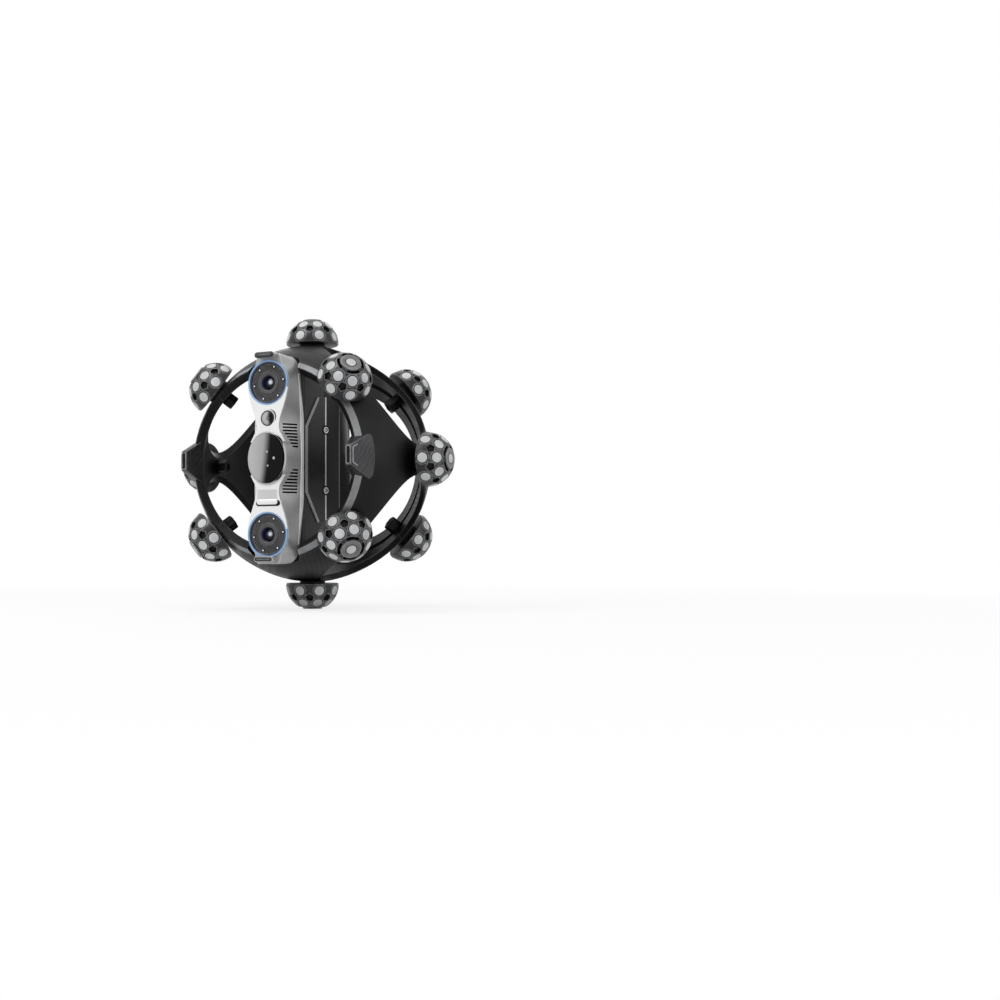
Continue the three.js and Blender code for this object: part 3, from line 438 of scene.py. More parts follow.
# %% Grained finishes
def grained(name, dark, light, rough, rough_spread=0.12, mottle=60, grain=2200,
            grain_depth=0.00004, edge_colour=None, **fixed):
    """A surface that mottles between two colours, with worn edges if they have a colour."""
    finish = Finish(name, light, rough, **fixed)
    clouds = finish.noise(mottle, 4, 0.6)
    grit = finish.noise(grain, 2, 0.5)
    colour = finish.blend(finish.ramp(clouds, (0.3, 0.0), (0.72, 1.0)), dark, light)
    if edge_colour:
        wear = finish.worn_edges() * finish.ramp(finish.noise(350, 3), (0.35, 0.25), (0.65, 1.0))
        colour = finish.blend(wear, colour, edge_colour)
    return finish.set(Base_Color=colour, Roughness=rough - rough_spread / 2 + rough_spread * clouds,
                      Normal=finish.bump(grit, 0.35, grain_depth))


print("grained finishes can be made")

# %% [markdown]
# The cage is a dark moulding with the faint slanting streaks of woven carbon
# fibre under its lacquer. The weave could be modelled thread by thread, but it
# is far finer than a pixel, so two crossed wave textures draw it. A broad noise
# lets it come and go, because it shows only where light glances off it. The
# weave is a real pattern, but its pale streaks are a painted sheen.

# %% Cage finish
LEANING = (1.0, 1.0, -1.0)


def carbon_shell():
    finish = Finish("carbon_shell", shade(0.1, 0.1, 0.11), 0.45, 0.0, Coat_Weight=0.06,
                    Coat_Roughness=0.35, Specular_IOR_Level=0.16)
    warp = finish.waves(95.0, 1.2, 2.0, profile="TRI", detail_scale=2.0)
    weft = finish.waves(240.0, 2.0, 2.0, finish.stretched(LEANING), "TRI")
    patches = finish.ramp(finish.noise(38, 3), (0.38, 0.0), (0.66, 1.0))
    weave = warp * 0.7 + weft * 0.3
    # painted sheen: the weave is paler where the broad patches are
    lit = finish.blend(weave * patches, shade(0.008, 0.009, 0.013), shade(0.068, 0.07, 0.08))
    fine = finish.bump(finish.noise(2400, 2), 0.3, 0.00004)
    return finish.set(Base_Color=finish.blend(finish.worn_edges() * 0.32, lit, shade(0.42, 0.425, 0.44)),
                      Roughness=0.5 - 0.16 * patches * weave,
                      Normal=finish.bump(weave, 0.18, 0.00008, over=fine))


CARBON = carbon_shell()
print("cage finish", CARBON.material.name)

# %% [markdown]
# The rims of the cage and the blocks beside its openings are satin metal paint.
# The rims are even and pale. The blocks are darker, with slanting streaks and
# pale edges, so they get a wave texture of their own.

# %% Rim and hub finishes
RIM = grained("rim_satin", shade(0.44, 0.443, 0.45), shade(0.55, 0.553, 0.562), 0.42,
              Metallic=0.3, edge_colour=shade(0.78))


def hub_satin():
    finish = Finish("hub_satin", shade(0.26), 0.36, 0.5, Specular_IOR_Level=0.4)
    streaks = finish.waves(90.0, 6.0, 4.0, finish.stretched(LEANING))
    clouds = finish.noise(60, 3)
    share = streaks * 0.2 + clouds * 0.5
    colour = finish.blend(share, shade(0.13, 0.13, 0.137), shade(0.36, 0.362, 0.37))
    return finish.set(Base_Color=finish.blend(finish.worn_edges() * 0.8, colour, shade(0.6)),
                      Roughness=0.3 + 0.16 * clouds, Normal=finish.bump(streaks, 0.06, 0.00003))


HUB_SATIN = hub_satin()
print("rim and hub finishes", RIM.material.name, HUB_SATIN.material.name)

# %% [markdown]
# The cage is four petals of one shell. A sphere with holes cut in it would do
# for the outline, but not for the lips and the channel inside each ring. So each
# petal is drawn as a row of closed sections, from the rim of the front opening
# to the rim of the rear one. A section runs along the outside, turns over a
# small rounded edge, and comes back along the inside. Its half width shrinks
# where the oval windows cut in.

# %% Rows of the cage
RING_INSIDE = CAGE - 8.0
PETAL_INSIDE = CAGE - 5.5
RIM_WIDTH = 4.5
RIM_HEIGHT = 1.4
EDGE = 0.7
FRONT_OPENING = CAGE * 0.7611
REAR_OPENING = CAGE * 0.708
RING_DEPTH = CAGE * 0.2389
WINDOW_DEPTH = CAGE * 0.4115
WINDOW_ROWS = 44
DOME_TILT = math.radians(33.4)
CHANNEL_DEPTH = 2
CHANNEL_HALF = 4


def on_sphere(radius, y):
    return girth_depth(radius, y), y


def towards(start, end, length):
    gap = math.dist(start, end)
    return tuple(a + (b - a) * length / gap for a, b in zip(start, end))


def ring_rows(opening):
    """Pairs of outer and inner (girth, depth) from a rim to the window tips."""
    corner = (opening, girth_depth(CAGE, opening) + RIM_HEIGHT)
    lip = (opening + RIM_WIDTH, girth_depth(CAGE, opening + RIM_WIDTH) + RIM_HEIGHT)
    foot = on_sphere(CAGE, girth_depth(CAGE, opening + RIM_WIDTH + RIM_HEIGHT))
    inner_opening = opening * RING_INSIDE / CAGE
    inner = (inner_opening, girth_depth(RING_INSIDE, inner_opening))
    channel = RING_INSIDE * math.sin(DOME_TILT)
    deep = RING_INSIDE + CHANNEL_DEPTH
    step = girth_depth(CAGE, opening) - RING_DEPTH
    wall = on_sphere(RING_INSIDE, channel + CHANNEL_HALF)
    return [
        (towards(corner, inner, EDGE), towards(inner, corner, EDGE)),
        (towards(corner, lip, EDGE), towards(inner, wall, EDGE)),
        (towards(lip, corner, EDGE / 2), on_sphere(RING_INSIDE, channel + CHANNEL_HALF + 0.1)),
        (towards(lip, foot, EDGE / 2), wall),
        (foot, on_sphere(deep, channel + CHANNEL_HALF - 0.2)),
        (on_sphere(CAGE, foot[1] - 3), on_sphere(deep, channel + 1)),
        (on_sphere(CAGE, foot[1] - 6), on_sphere(deep, channel - 2)),
        (on_sphere(CAGE, channel - CHANNEL_HALF + 0.2), on_sphere(deep, channel - CHANNEL_HALF + 0.2)),
        (on_sphere(CAGE, channel - CHANNEL_HALF - 0.1), on_sphere(RING_INSIDE, channel - CHANNEL_HALF)),
        (on_sphere(CAGE, step + 0.4), on_sphere(RING_INSIDE, step + 0.3)),
    ]


def cage_rows():
    rows = [((og, -oy), (ig, -iy)) for (og, oy), (ig, iy) in ring_rows(FRONT_OPENING)]
    ring_end = RING_DEPTH + 1 - girth_depth(CAGE, FRONT_OPENING)
    for row in range(WINDOW_ROWS + 1):
        y = -WINDOW_DEPTH * math.cos(math.pi * row / WINDOW_ROWS)
        rows.append((on_sphere(CAGE, y), on_sphere(PETAL_INSIDE if y > ring_end else RING_INSIDE, y)))
    return rows + ring_rows(REAR_OPENING)[::-1]


ROWS = cage_rows()
print("cage rows", len(ROWS))

# %% [markdown]
# Each row becomes one closed loop of a petal. Where the row crosses a window,
# the loop is narrower by the reach of an ellipse, which makes the pinched necks.

# %% Sections of a petal
WINDOW_LENGTH = CAGE * 0.6106
SEAM = 0.15
ACROSS = 22


def half_width(girth, y):
    reach = SEAM
    if abs(y) < WINDOW_DEPTH:
        reach = max(SEAM, WINDOW_LENGTH * math.sqrt(1 - (y / WINDOW_DEPTH) ** 2))
    return math.pi / 4 - math.asin(reach / girth)


def section(row, turn):
    """The closed loop of one row, for the petal at an angle about the front-to-back axis."""
    (outer, outer_y), (inner, inner_y) = row
    loop = []
    for girth, y, sense, inward in [(outer, outer_y, 1, -1), (inner, inner_y, -1, 1)]:
        wide = half_width(girth, y)
        soft = 1 + inward * EDGE / CAGE
        spread = 1 - EDGE / girth / wide
        places = [(-1, soft)]
        places += [((2 * k / ACROSS - 1) * spread, 1) for k in range(ACROSS + 1)]
        places += [(1, soft)]
        for share, pull in places:
            angle = turn + sense * share * wide
            loop.append((girth * pull * math.cos(angle), y * pull, girth * pull * math.sin(angle)))
    return loop


print("points in a section", len(section(ROWS[0], 0.0)))

# %% [markdown]
# The body stands through the top and bottom of the front ring, in a notch that
# follows its outline with a small gap. The notch is drawn from the same sizes as
# the body's rear corner: straight flanks with ends that narrow like a hood.

# %% Body outline and notch
CAMERA_Z = CAGE * 0.6106
BODY_HALF = CAMERA_Z + CAGE * 0.2345
FACE_Y = -CAGE * 0.7212
CORNER_Y = -CAGE * 0.5487
CORNER_WIDE = CAGE * 0.2283
HOOD_START = CAMERA_Z + 9
REAR_HOOD_END = 8
NOTCH_GAP = 1.2


def notch_outline(steps=14):
    half, end_half = CORNER_WIDE - REAR_HOOD_END, REAR_HOOD_END + NOTCH_GAP
    rise = BODY_HALF + NOTCH_GAP - HOOD_START
    upper = [(end_half + half * across, HOOD_START + rise * up)
             for across, up in arc(0, math.pi / 2, steps)]
    side = [(x, -z) for x, z in reversed(upper)] + upper
    return side + [(-x, -z) for x, z in side]


def notch_form():
    return drawn_form([at_depth(notch_outline(), y) for y in (FACE_Y - NOTCH_GAP, CORNER_Y + NOTCH_GAP)])


print("body is", round(2 * BODY_HALF, 1), "mm tall")

# %% [markdown]
# The flat lip of each rim is painted pale, as on the real cage, where it catches
# the light. Faces that lie on the lip are found by their place and take the
# second finish. The notch is then cut out of the top and bottom petals.

# %% Cage petals
PETALS = {"right": 0.0, "top": math.pi / 2, "left": math.pi, "bottom": -math.pi / 2}
LIP_STARTS = 60


def end_faces(loops):
    """The lids of a section: each joins a point outside to the one across from it inside."""
    count = len(loops[0])
    last = (len(loops) - 1) * count
    faces = []
    for k in range(count // 2 - 1):
        faces.append((k, k + 1, count - 2 - k, count - 1 - k))
        faces.append((last + k, last + count - 1 - k, last + count - 2 - k, last + k + 1))
    return faces


def petal(name, turn):
    loops = [section(row, turn) for row in ROWS]
    points, faces = drawn_form(loops, closed_ends=False)
    made = piece(f"{name}_petal", (points, faces + end_faces(loops)), [CARBON, RIM], "shell",
                 f"cage_{name}_petal")
    for face in made.data.polygons:
        spots = [made.data.vertices[v].co for v in face.vertices]
        middle = sum(spots, Vector()) / len(spots) / MM - CENTRE
        girth = math.hypot(middle.x, middle.z)
        opening = FRONT_OPENING if middle.y < 0 else REAR_OPENING
        on_lip = opening < girth < opening + RIM_WIDTH
        if on_lip and middle.length > CAGE and abs(middle.y) > LIP_STARTS:
            face.material_index = 1
    if name in ("top", "bottom"):
        cut(made, cutter([notch_form()], [CARBON]))
    return made


petals = [petal(name, turn) for name, turn in PETALS.items()]
print("petal faces", [len(made.data.polygons) for made in petals])

# %% [markdown]
# Each target is a gunmetal dome with a flat crown, two rows of pale reflecting
# discs, and dark five-sided pockets between them. The nut behind it is black.
# The discs are a matt white film, so they get a soft, slightly grainy grey.

# %% Dome finishes
def pale_metal(name, dark, light):
    return grained(name, shade(dark), shade(light), 0.36, Metallic=0.3, mottle=90,
                   edge_colour=shade(0.62))


GUNMETAL = grained("gunmetal", shade(0.075, 0.076, 0.084), shade(0.15, 0.152, 0.162), 0.36,
                   Metallic=0.3, mottle=90, edge_colour=shade(0.5, 0.505, 0.52))
FILM = grained("target_film", shade(0.7, 0.705, 0.71), shade(0.86, 0.865, 0.87), 0.6,
               mottle=55, grain=3500)
BLACK = grained("pocket_black", shade(0.015), shade(0.04), 0.6, mottle=200, Specular_IOR_Level=0.2)
BOSS_METAL = pale_metal("boss_metal", 0.22, 0.34)
COLLAR_METAL = pale_metal("collar_metal", 0.36, 0.48)
print("dome finishes", GUNMETAL.material.name, FILM.material.name, BLACK.material.name)

# %% [markdown]
# On a dome, round things lean out from its middle: discs, their raised borders
# and the pockets. Each could be placed by its own point and normal. It is easier
# to make it standing on Z, lean it over by one angle and spin it by another.

# %% Standing and leaning forms
DOME = CAGE * 0.2212
DISC_STEPS = 40


def spun(profile, steps=96):
    """A profile of (radius, z) turned about Z."""
    points, faces = turned_form(profile, steps)
    return [(x, -z, y) for x, y, z in points], faces


def leaned(form, tilt, spin):
    points, faces = form
    pose = Matrix.Rotation(spin, 4, "Z") @ Matrix.Rotation(tilt, 4, "Y")
    return [tuple(pose @ Vector(point)) for point in points], faces


def disc_form(radius, low, high, soft=0.25):
    return spun([(0, low), (radius, low), (radius, high - soft), (radius - soft, high), (0, high)],
                DISC_STEPS)


def cap_form(inner, outer, proud, soft=0.15):
    """A disc, or a ring, that stands a little proud of the dome and follows its curve."""
    low = DOME - 1.6
    radii = [mixed(outer, inner, k / 5) for k in range(6)]
    skin = [(radius, girth_depth(DOME + proud, radius)) for radius in radii]
    skin[0] = (outer - soft, skin[0][1] + soft / 4)
    skin = [(outer, skin[0][1] - soft)] + skin
    return spun([(inner, low), (outer, low)] + skin + ([(inner, low)] if inner else []), DISC_STEPS)


print("dome radius", round(DOME, 1), "mm")

# %% [markdown]
# The dome's own skin is a lathe profile: a brim, the round side and a stepped
# crown. The pockets are five-sided pits, the crown has four curved slots, and
# each pocket has a thin raised border. A lathe with five steps turns a pentagon.

# %% Parts of a dome
CROWN = DOME * 0.944
SLOT_IN, SLOT_OUT = 9.7, 12.5
SLOT_SWEEP = math.radians(64)
SLOT_START = 0.3
POCKET = spun([(0, DOME - 2.4), (3.5, DOME - 2.4), (4.5, DOME + 1), (0, DOME + 1)], 5)
POCKET_RIM = spun([(4.3, DOME - 0.9), (4.8, DOME - 0.9), (4.75, DOME - 0.05), (4.4, DOME - 0.05),
                   (4.3, DOME - 0.9)], 5)


def arc_slot(start):
    corners = [(SLOT_IN, 18.5), (SLOT_OUT, 18.5), (SLOT_OUT, 25), (SLOT_IN, 25)]
    return drawn_form([[(radius * across, radius * along, z) for radius, z in corners]
                       for across, along in arc(start, SLOT_SWEEP, 12)])


def dome_skin():
    side = [(DOME * across, DOME * rise) for across, rise in arc(0, math.radians(59.8), 13)]
    brim = [(0, -0.9), (DOME - 0.7, -0.9), (DOME, -0.2), (DOME, 0.5)]
    crown = [(13.3, 20.95), (13.0, 21.5), (9.3, 22.3), (9.0, 22.8), (8.4, CROWN - 0.3), (0, CROWN - 0.3)]
    return spun(brim + side[1:] + crown)


print("crown at", round(CROWN, 1), "mm")

# %% [markdown]
# The pockets and slots are cut first, in two steps, because one boolean with all
# of them at once loses the body. The discs, borders and collar are then laid
# into the same mesh. One finished mesh serves all the domes: it stands on its
# base facing up, and each dome turns a copy to face out from the cage.

# %% Dome mesh
DISC = 4.55
BOSS = 6.1
LOW_ROW, HIGH_ROW, POCKET_ROW = (math.radians(angle) for angle in (76, 45, 60))
COLUMNS = 8
NECK = DOME * 0.48
MARKER = [(DISC + 0.75, BOSS, 0.28, 3), (0, DISC + 0.8, 0.06, 2), (0, DISC, 0.2, 1)]
COLLAR = [(DISC + 0.8, CROWN - 1.6), (9.2, CROWN - 1.6), (9.2, CROWN - 0.32), (9.0, CROWN - 0.12),
          (DISC + 1.0, CROWN - 0.12), (DISC + 0.8, CROWN - 0.32), (DISC + 0.8, CROWN - 1.6)]


def dome_trims():
    """The forms laid on a dome, each with the number of its finish."""
    trims = [(spun([(0, -7.6), (NECK, -7.6), (NECK, 0), (0, 0)]), 2)]
    for k in range(COLUMNS):
        spin = math.tau * k / COLUMNS
        for tilt in (LOW_ROW, HIGH_ROW):
            trims += [(leaned(cap_form(inner, outer, proud), tilt, spin), slot)
                      for inner, outer, proud, slot in MARKER]
        trims.append((leaned(POCKET_RIM, POCKET_ROW, spin + math.pi / COLUMNS), 3))
    return trims + [(spun(COLLAR, 64), 4), (disc_form(DISC + 0.85, CROWN - 1, CROWN - 0.2), 2),
                    (disc_form(DISC, CROWN - 1, CROWN), 1)]


def dome_mesh():
    finishes = [GUNMETAL, FILM, BLACK, BOSS_METAL, COLLAR_METAL]
    made = piece("dome_mesh", dome_skin(), finishes, body=None, local=True)
    pockets = [leaned(POCKET, POCKET_ROW, math.tau * (k + 0.5) / COLUMNS) for k in range(COLUMNS)]
    slots = [arc_slot(math.tau * k / 4 + SLOT_START) for k in range(4)]
    for forms in (pockets, slots):
        cut(made, cutter(forms, finishes[:3], local=True))
    print("dome faces after the cuts", len(made.data.polygons))
    trims = dome_trims()
    numbers = [slot for (_, faces), slot in trims for _ in faces]
    extra = piece("dome_trims", joined([form for form, _ in trims]), finishes, body=None, slots=numbers,
                  local=True)
    mesh = made.data
    whole = bmesh.new()
    for part in (mesh, extra.data):
        whole.from_mesh(part)
    whole.to_mesh(mesh)
    whole.free()
    for spent in (made, extra):
        bpy.data.objects.remove(spent)
    return shaded(mesh)


DOME_MESH = dome_mesh()
print("dome faces", len(DOME_MESH.polygons))

# %% [markdown]
# The black nut is a knob with six lobes and a rounded top edge. It could be cut
# from a cylinder, but an outline whose radius waves six times is enough, and
# rings of that outline make its side.

# %% Nut mesh
NUT = 7.0
NUT_END = -10.0
LOBES = 6
LOBE_DEPTH = 0.45


def nut_ring(radius, z, steps=96):
    loop = []
    for k, (across, along) in enumerate(around(steps)):
        reach = radius - LOBE_DEPTH * (1 - math.cos(LOBES * math.tau * k / steps))
        loop.append((reach * across, reach * along, z))
    return loop


def nut_mesh():
    rings = [(3.2, NUT_END + 1.6), (4.0, NUT_END + 1.6), (4.2, NUT_END), (NUT - 1, NUT_END),
             (NUT - 0.3, NUT_END + 0.3), (NUT, NUT_END + 1), (NUT, -1), (NUT - 0.6, 0)]
    form = drawn_form([nut_ring(*ring) for ring in rings])
    made = piece("nut_mesh", form, BLACK, body=None, local=True)
    mesh = made.data
    bpy.data.objects.remove(made)
    return mesh


NUT_MESH = nut_mesh()
print("nut faces", len(NUT_MESH.polygons))

# %% [markdown]
# The domes sit in twelve places: above, below, left and right of the cage, and
# four on each ring. Each place is a direction from the middle and a distance.
# Each nut sits on the same line, on the inside of the wall.

# %% Place the domes and nuts
def dome_places():
    """For each dome its name, direction and distance, and how far out the wall's inside is."""
    places = [("top", (0, 0, 1), CAGE + 2, PETAL_INSIDE),
              ("bottom", (0, 0, -1), CAGE + 2, PETAL_INSIDE),
              ("left", (-1, 0, 0), CAGE + 7.5, PETAL_INSIDE),
              ("right", (1, 0, 0), CAGE + 7.5, PETAL_INSIDE)]
    flat = math.cos(DOME_TILT) * math.sqrt(0.5)
    for depth_name, y in (("front", -1), ("rear", 1)):
        for height_name, z in (("upper", 1), ("lower", -1)):
            for side_name, x in (("left", -1), ("right", 1)):
                places.append((f"{depth_name}_{height_name}_{side_name}",
                               (x * flat, y * math.sin(DOME_TILT), z * flat), CAGE + 3.5, RING_INSIDE))
    return places


def placed(name, mesh, direction, distance):
    """A copy of a mesh that faces out from the cage."""
    copy = mesh.copy()
    copy.name = name
    turn = UP.rotation_difference(Vector(direction))
    copy.transform(Matrix.Translation(metres(Vector(direction) * distance)) @ turn.to_matrix().to_4x4())
    made = bpy.data.objects.new(name, copy)
    bpy.context.scene.collection.objects.link(made)
    return made


for name, direction, distance, inside in dome_places():
    settled(placed(f"{name}_dome", DOME_MESH, direction, distance), "dome", f"{name}_target_dome")
    seat = girth_depth(inside, NUT) - 0.6
    settled(placed(f"{name}_nut", NUT_MESH, direction, seat), "nut", f"{name}_dome_nut")
print("domes placed", len(dome_places()))

# %% [markdown]
# Beside each opening the cage has a hub at the left and right: a faceted block
# with a narrow face that widens until it is flush with the petal. Its facets
# could be listed one by one, but they are the tight skin round its corners, so a
# convex hull finds them. Thin inlays give it borders.

# %% Hub blocks
HUB_FACE = (CAGE * 0.741, CAGE * 0.793)
HUB_INLAY = 0.32
HUB_Y = CAGE * 0.802 - HUB_INLAY
HUB_FACE_HALF = CAGE * 0.078
HUB_ROOT_HALF = CAGE * 0.186


def hull_form(points):
    """The tight skin round a cloud of points."""
    shell = bmesh.new()
    for point in points:
        shell.verts.new(point)
    hull = bmesh.ops.convex_hull(shell, input=shell.verts)
    spare = {item for item in hull["geom_interior"] + hull["geom_unused"]
             if isinstance(item, bmesh.types.BMVert)}
    bmesh.ops.delete(shell, geom=list(spare), context="VERTS")
    bmesh.ops.dissolve_limit(shell, angle_limit=math.radians(0.5), verts=shell.verts, edges=shell.edges)
    shell.verts.index_update()
    places = [tuple(spot.co) for spot in shell.verts]
    faces = [tuple(spot.index for spot in face.verts) for face in shell.faces]
    shell.free()
    return places, faces


def hub_corner(x_sign, y_sign, radius, angle, z):
    girth = girth_depth(radius, z)
    turn = math.radians(angle)
    return (x_sign * girth * math.sin(turn), y_sign * girth * math.cos(turn), z)


def hub_points(x_sign, y_sign):
    corners = [(CAGE - 0.75, 57.5, 1), (RING_INSIDE + 1.5, 49.5, 1), (RING_INSIDE + 1.5, 57.5, 1),
               (CAGE + 0.15, 58.0, 0.8), (CAGE + 0.15, 58.7, 0.45), (CAGE + 0.15, 58.9, 0.0)]
    points = []
    for z_sign in BOTH:
        points += [(x_sign * x, y_sign * HUB_Y, z_sign * HUB_FACE_HALF) for x in HUB_FACE]
        points += [hub_corner(x_sign, y_sign, radius, angle, z_sign * share * HUB_ROOT_HALF)
                   for radius, angle, share in corners]
    return points


print("hub face at", round(HUB_Y, 1), "mm")

# %% [markdown]
# The pale borders of a hub are raised lines between its corners, and its narrow
# face holds a dark slot in a pale frame. The lines are drawn as thin bars that
# face out from the middle of the cage, because a painted line would have no edge.

# %% Hubs
def line_strip(start, end, width=0.8, low=-1.0, high=0.35):
    start, end = Vector(start), Vector(end)
    way = (end - start).normalized()
    out = (start + end).normalized()
    out = (out - way * out.dot(way)).normalized()
    side = way.cross(out) * width / 2
    corners = [(-1, low), (-1, high - 0.1), (-0.6, high), (0.6, high), (1, high - 0.1), (1, low)]
    return drawn_form([[tuple(spot + side * sign + out * lift) for sign, lift in corners]
                       for spot in (start, end)])


def hub(name, x_sign, y_sign):
    made = piece(f"{name}_hub", hull_form(hub_points(x_sign, y_sign)), HUB_SATIN, "shell")
    rounded(made, 0.7, 3)
    near, far = [[(x_sign * (HUB_FACE[1] + 0.9), y_sign * (HUB_Y - 1.5), z_sign * (HUB_FACE_HALF - 2.2)),
                  hub_corner(x_sign, y_sign, CAGE + 0.2, 55.5, z_sign * (HUB_ROOT_HALF - 5))]
                 for z_sign in BOTH]
    lines = joined([line_strip(*ends) for ends in (near, (near[0], far[0]), far)])
    piece(f"{name}_hub_lines", lines, RIM)
    face_x = x_sign * sum(HUB_FACE) / 2
    outline = pill(2.3, HUB_FACE_HALF - 0.9, 1.3)
    parts = [("edge", 1.0, HUB_INLAY - 0.07, RIM), ("well", 0.72, HUB_INLAY, BLACK)]
    for part, share, lift, finish in parts:
        loops = [[(face_x + x * share, y_sign * (HUB_Y + depth), z - math.copysign((1 - share) * 2, z))
                  for x, z in outline] for depth in (-0.3, lift)]
        piece(f"{name}_hub_{part}", drawn_form(loops), finish)


for y_name, y_sign in (("front", -1), ("rear", 1)):
    for x_name, x_sign in (("left", -1), ("right", 1)):
        hub(f"{y_name}_{x_name}", x_sign, y_sign)
print("hubs made")

# %% [markdown]
# The front of the body is cast metal with a satin silver finish, brushed from
# top to bottom, and the two waisted plates on its face are polished brighter.
# Noise stretched along the height draws the brush marks, which a plain noise
# could not, because they all run one way.

# %% Metal finishes
BRUSH_WAY = (1.0, 1.0, 0.03)


def brushed(name, dark, light, rough, metallic, streak, edge):
    finish = Finish(name, shade(light), rough, metallic)
    lines = finish.noise(2600, 3, 0.6, finish.stretched(BRUSH_WAY))
    clouds = finish.noise(45, 3, 0.5)
    colour = finish.blend(clouds * 0.6 + lines * 0.4, shade(dark), shade(light))
    return finish.set(Base_Color=finish.blend(finish.worn_edges(0.0008), colour, shade(edge)),
                      Roughness=rough + streak * lines, Normal=finish.bump(lines, 0.12, 0.00003))


SILVER = brushed("satin_silver", 0.6, 0.72, 0.34, 0.35, 0.1, 0.88)
BRIGHT = brushed("bright_plate", 0.92, 0.97, 0.3, 0.2, 0.08, 0.99)
TRIM = brushed("pale_trim", 0.66, 0.78, 0.32, 0.35, 0.08, 0.92)
EDGE_GREY = brushed("edge_grey", 0.54, 0.66, 0.34, 0.3, 0.08, 0.8)
RAMP_GREY = brushed("ramp_grey", 0.76, 0.84, 0.34, 0.1, 0.06, 0.95)
CHARCOAL = grained("charcoal_case", shade(0.11, 0.11, 0.117), shade(0.18, 0.18, 0.188), 0.42,
                   Metallic=0.25, edge_colour=shade(0.3))
DARK = grained("dark_case", shade(0.05), shade(0.09), 0.45, edge_colour=shade(0.16),
               Specular_IOR_Level=0.35)
print("metal finishes ready")

# %% [markdown]
# Seen from the front, the face of the body is waisted: wide round each camera
# and round the window, and narrow between them. It could be drawn as one outline,
# but then each part that touches it would need its own. One function that gives
# the half width at any height lets the body and the bright plates share an edge.

# %% Face outline
WINDOW = (CAGE * 0.1611, CAGE * 0.1965)
WINDOW_RIM = 2.4
BOSS_RADIUS = CAGE * 0.1912
PLATE_SIDE = [(18.4, 15.0), (15.6, 20.0), (12.9, 25.0), (12.3, 30.5), (13.2, 36.0), (15.1, 42.0),
              (17.6, 49.0), (19.8, 56.0), (21.4, 64.0)]


def smooth_curve(spots, steps=10):
    """Points on a curve that passes through the spots with even tension."""
    ends = [spots[0]] + spots + [spots[-1]]
    curve = []
    for k in range(len(spots) - 1):
        corners = list(zip(*ends[k:k + 4]))
        for step in range(steps):
            t = step / steps
            curve.append(tuple(0.5 * (2 * b + (c - a) * t + (2 * a - 5 * b + 4 * c - d) * t * t
                                      + (3 * b - a - 3 * c + d) * t ** 3) for a, b, c, d in corners))
    return curve + [spots[-1]]


PLATE_CURVE = smooth_curve(PLATE_SIDE)


def waist_at(height):
    """Half width of the plate's curve at a height, 0 outside its reach."""
    for (low_x, low_z), (high_x, high_z) in zip(PLATE_CURVE, PLATE_CURVE[1:]):
        if low_z <= height <= high_z:
            return mixed(low_x, high_x, (height - low_z) / (high_z - low_z))
    return 0.0


print("waist", round(waist_at(30.5), 1), "mm")

# %% [markdown]
# The face is as wide as the widest of its parts at each height: the window's
# rim, the waist, the camera's boss or the hood. The rear corner behind it has
# straight flanks that narrow slightly upwards and the same kind of hood.

# %% Width of the body
FACE_WIDE = CAGE * 0.1327
FACE_HOOD_END = 10.0
FLANK_NARROWS = 35.0
FLANK_TOP_WIDE = 21.8


def round_part(height, middle, half_width, half_height):
    share = (height - middle) / half_height
    return half_width * math.sqrt(max(0.0, 1 - share * share))


def hood_part(height, start, half, end_half):
    if height < start:
        return half
    share = min((height - start) / (BODY_HALF - start), 1.0)
    return end_half + (half - end_half) * math.sqrt(1 - share * share)


def face_half(z):
    height = abs(z)
    window = round_part(height, 0, WINDOW[0] + WINDOW_RIM, WINDOW[1] + WINDOW_RIM)
    camera = round_part(height, CAMERA_Z, BOSS_RADIUS, BOSS_RADIUS)
    hood = hood_part(height, CAMERA_Z + 1, FACE_WIDE, FACE_HOOD_END) if height > CAMERA_Z else 0.0
    return max(window, waist_at(height), camera, hood)


def corner_half(z):
    share = max(abs(z) - FLANK_NARROWS, 0.0) / (HOOD_START - FLANK_NARROWS)
    narrowed = mixed(CORNER_WIDE, FLANK_TOP_WIDE, min(share, 1.0))
    return hood_part(abs(z), HOOD_START, narrowed, REAR_HOOD_END)


print("face half width at the window", round(face_half(0), 1), "mm")

# %% [markdown]
# The vent slots on each flank grow longer towards the ends, and all of them stop
# on one line near the corner. Painted stripes would look flat from the side, so
# each slot is a small block, laid across the sloping flank and cut out of it.

# %% Vent slots
VENTS = 8
VENT_PITCH = 2.9
VENT_HEIGHT = 1.7
VENT_LONG = 14.8
VENT_SHORT = 6.8
VENT_FIRST = 10.6
VENT_OFFSET = 6.5


def flank_ways(far, near):
    """Along the flank from front to rear, and straight out of it."""
    run = Vector((far - near, CORNER_Y - FACE_Y, 0)).normalized()
    return run, Vector((run.y, -run.x, 0))


def vent_form(index, x_sign, z_sign):
    z = z_sign * (VENT_FIRST + index * VENT_PITCH)
    run, out = flank_ways(CORNER_WIDE, face_half(z))
    far = Vector((CORNER_WIDE, CORNER_Y, 0)) - run * VENT_OFFSET
    near = far - run * mixed(VENT_SHORT, VENT_LONG, min(index / (VENTS - 3), 1))
    spots = (near - out * 3, far - out * 3, far + out * 2, near + out * 2)
    return drawn_form([[(x_sign * spot.x, spot.y, z + side * VENT_HEIGHT / 2) for spot in spots]
                       for side in BOTH])


print("vents reach up to", VENT_FIRST + (VENTS - 1) * VENT_PITCH, "mm")

# %% [markdown]
# The front housing runs back from the face to straight rear corners. It is drawn
# from level sections, bottom to top, because its width is known at each height.
# Round seats for the ring lamps and the vent slots are then cut out of it.

# %% Front housing
SEAT_RADIUS = CAGE * 0.1796 + 0.3
FACE_ROWS = 190
FLANK_STEPS = 6


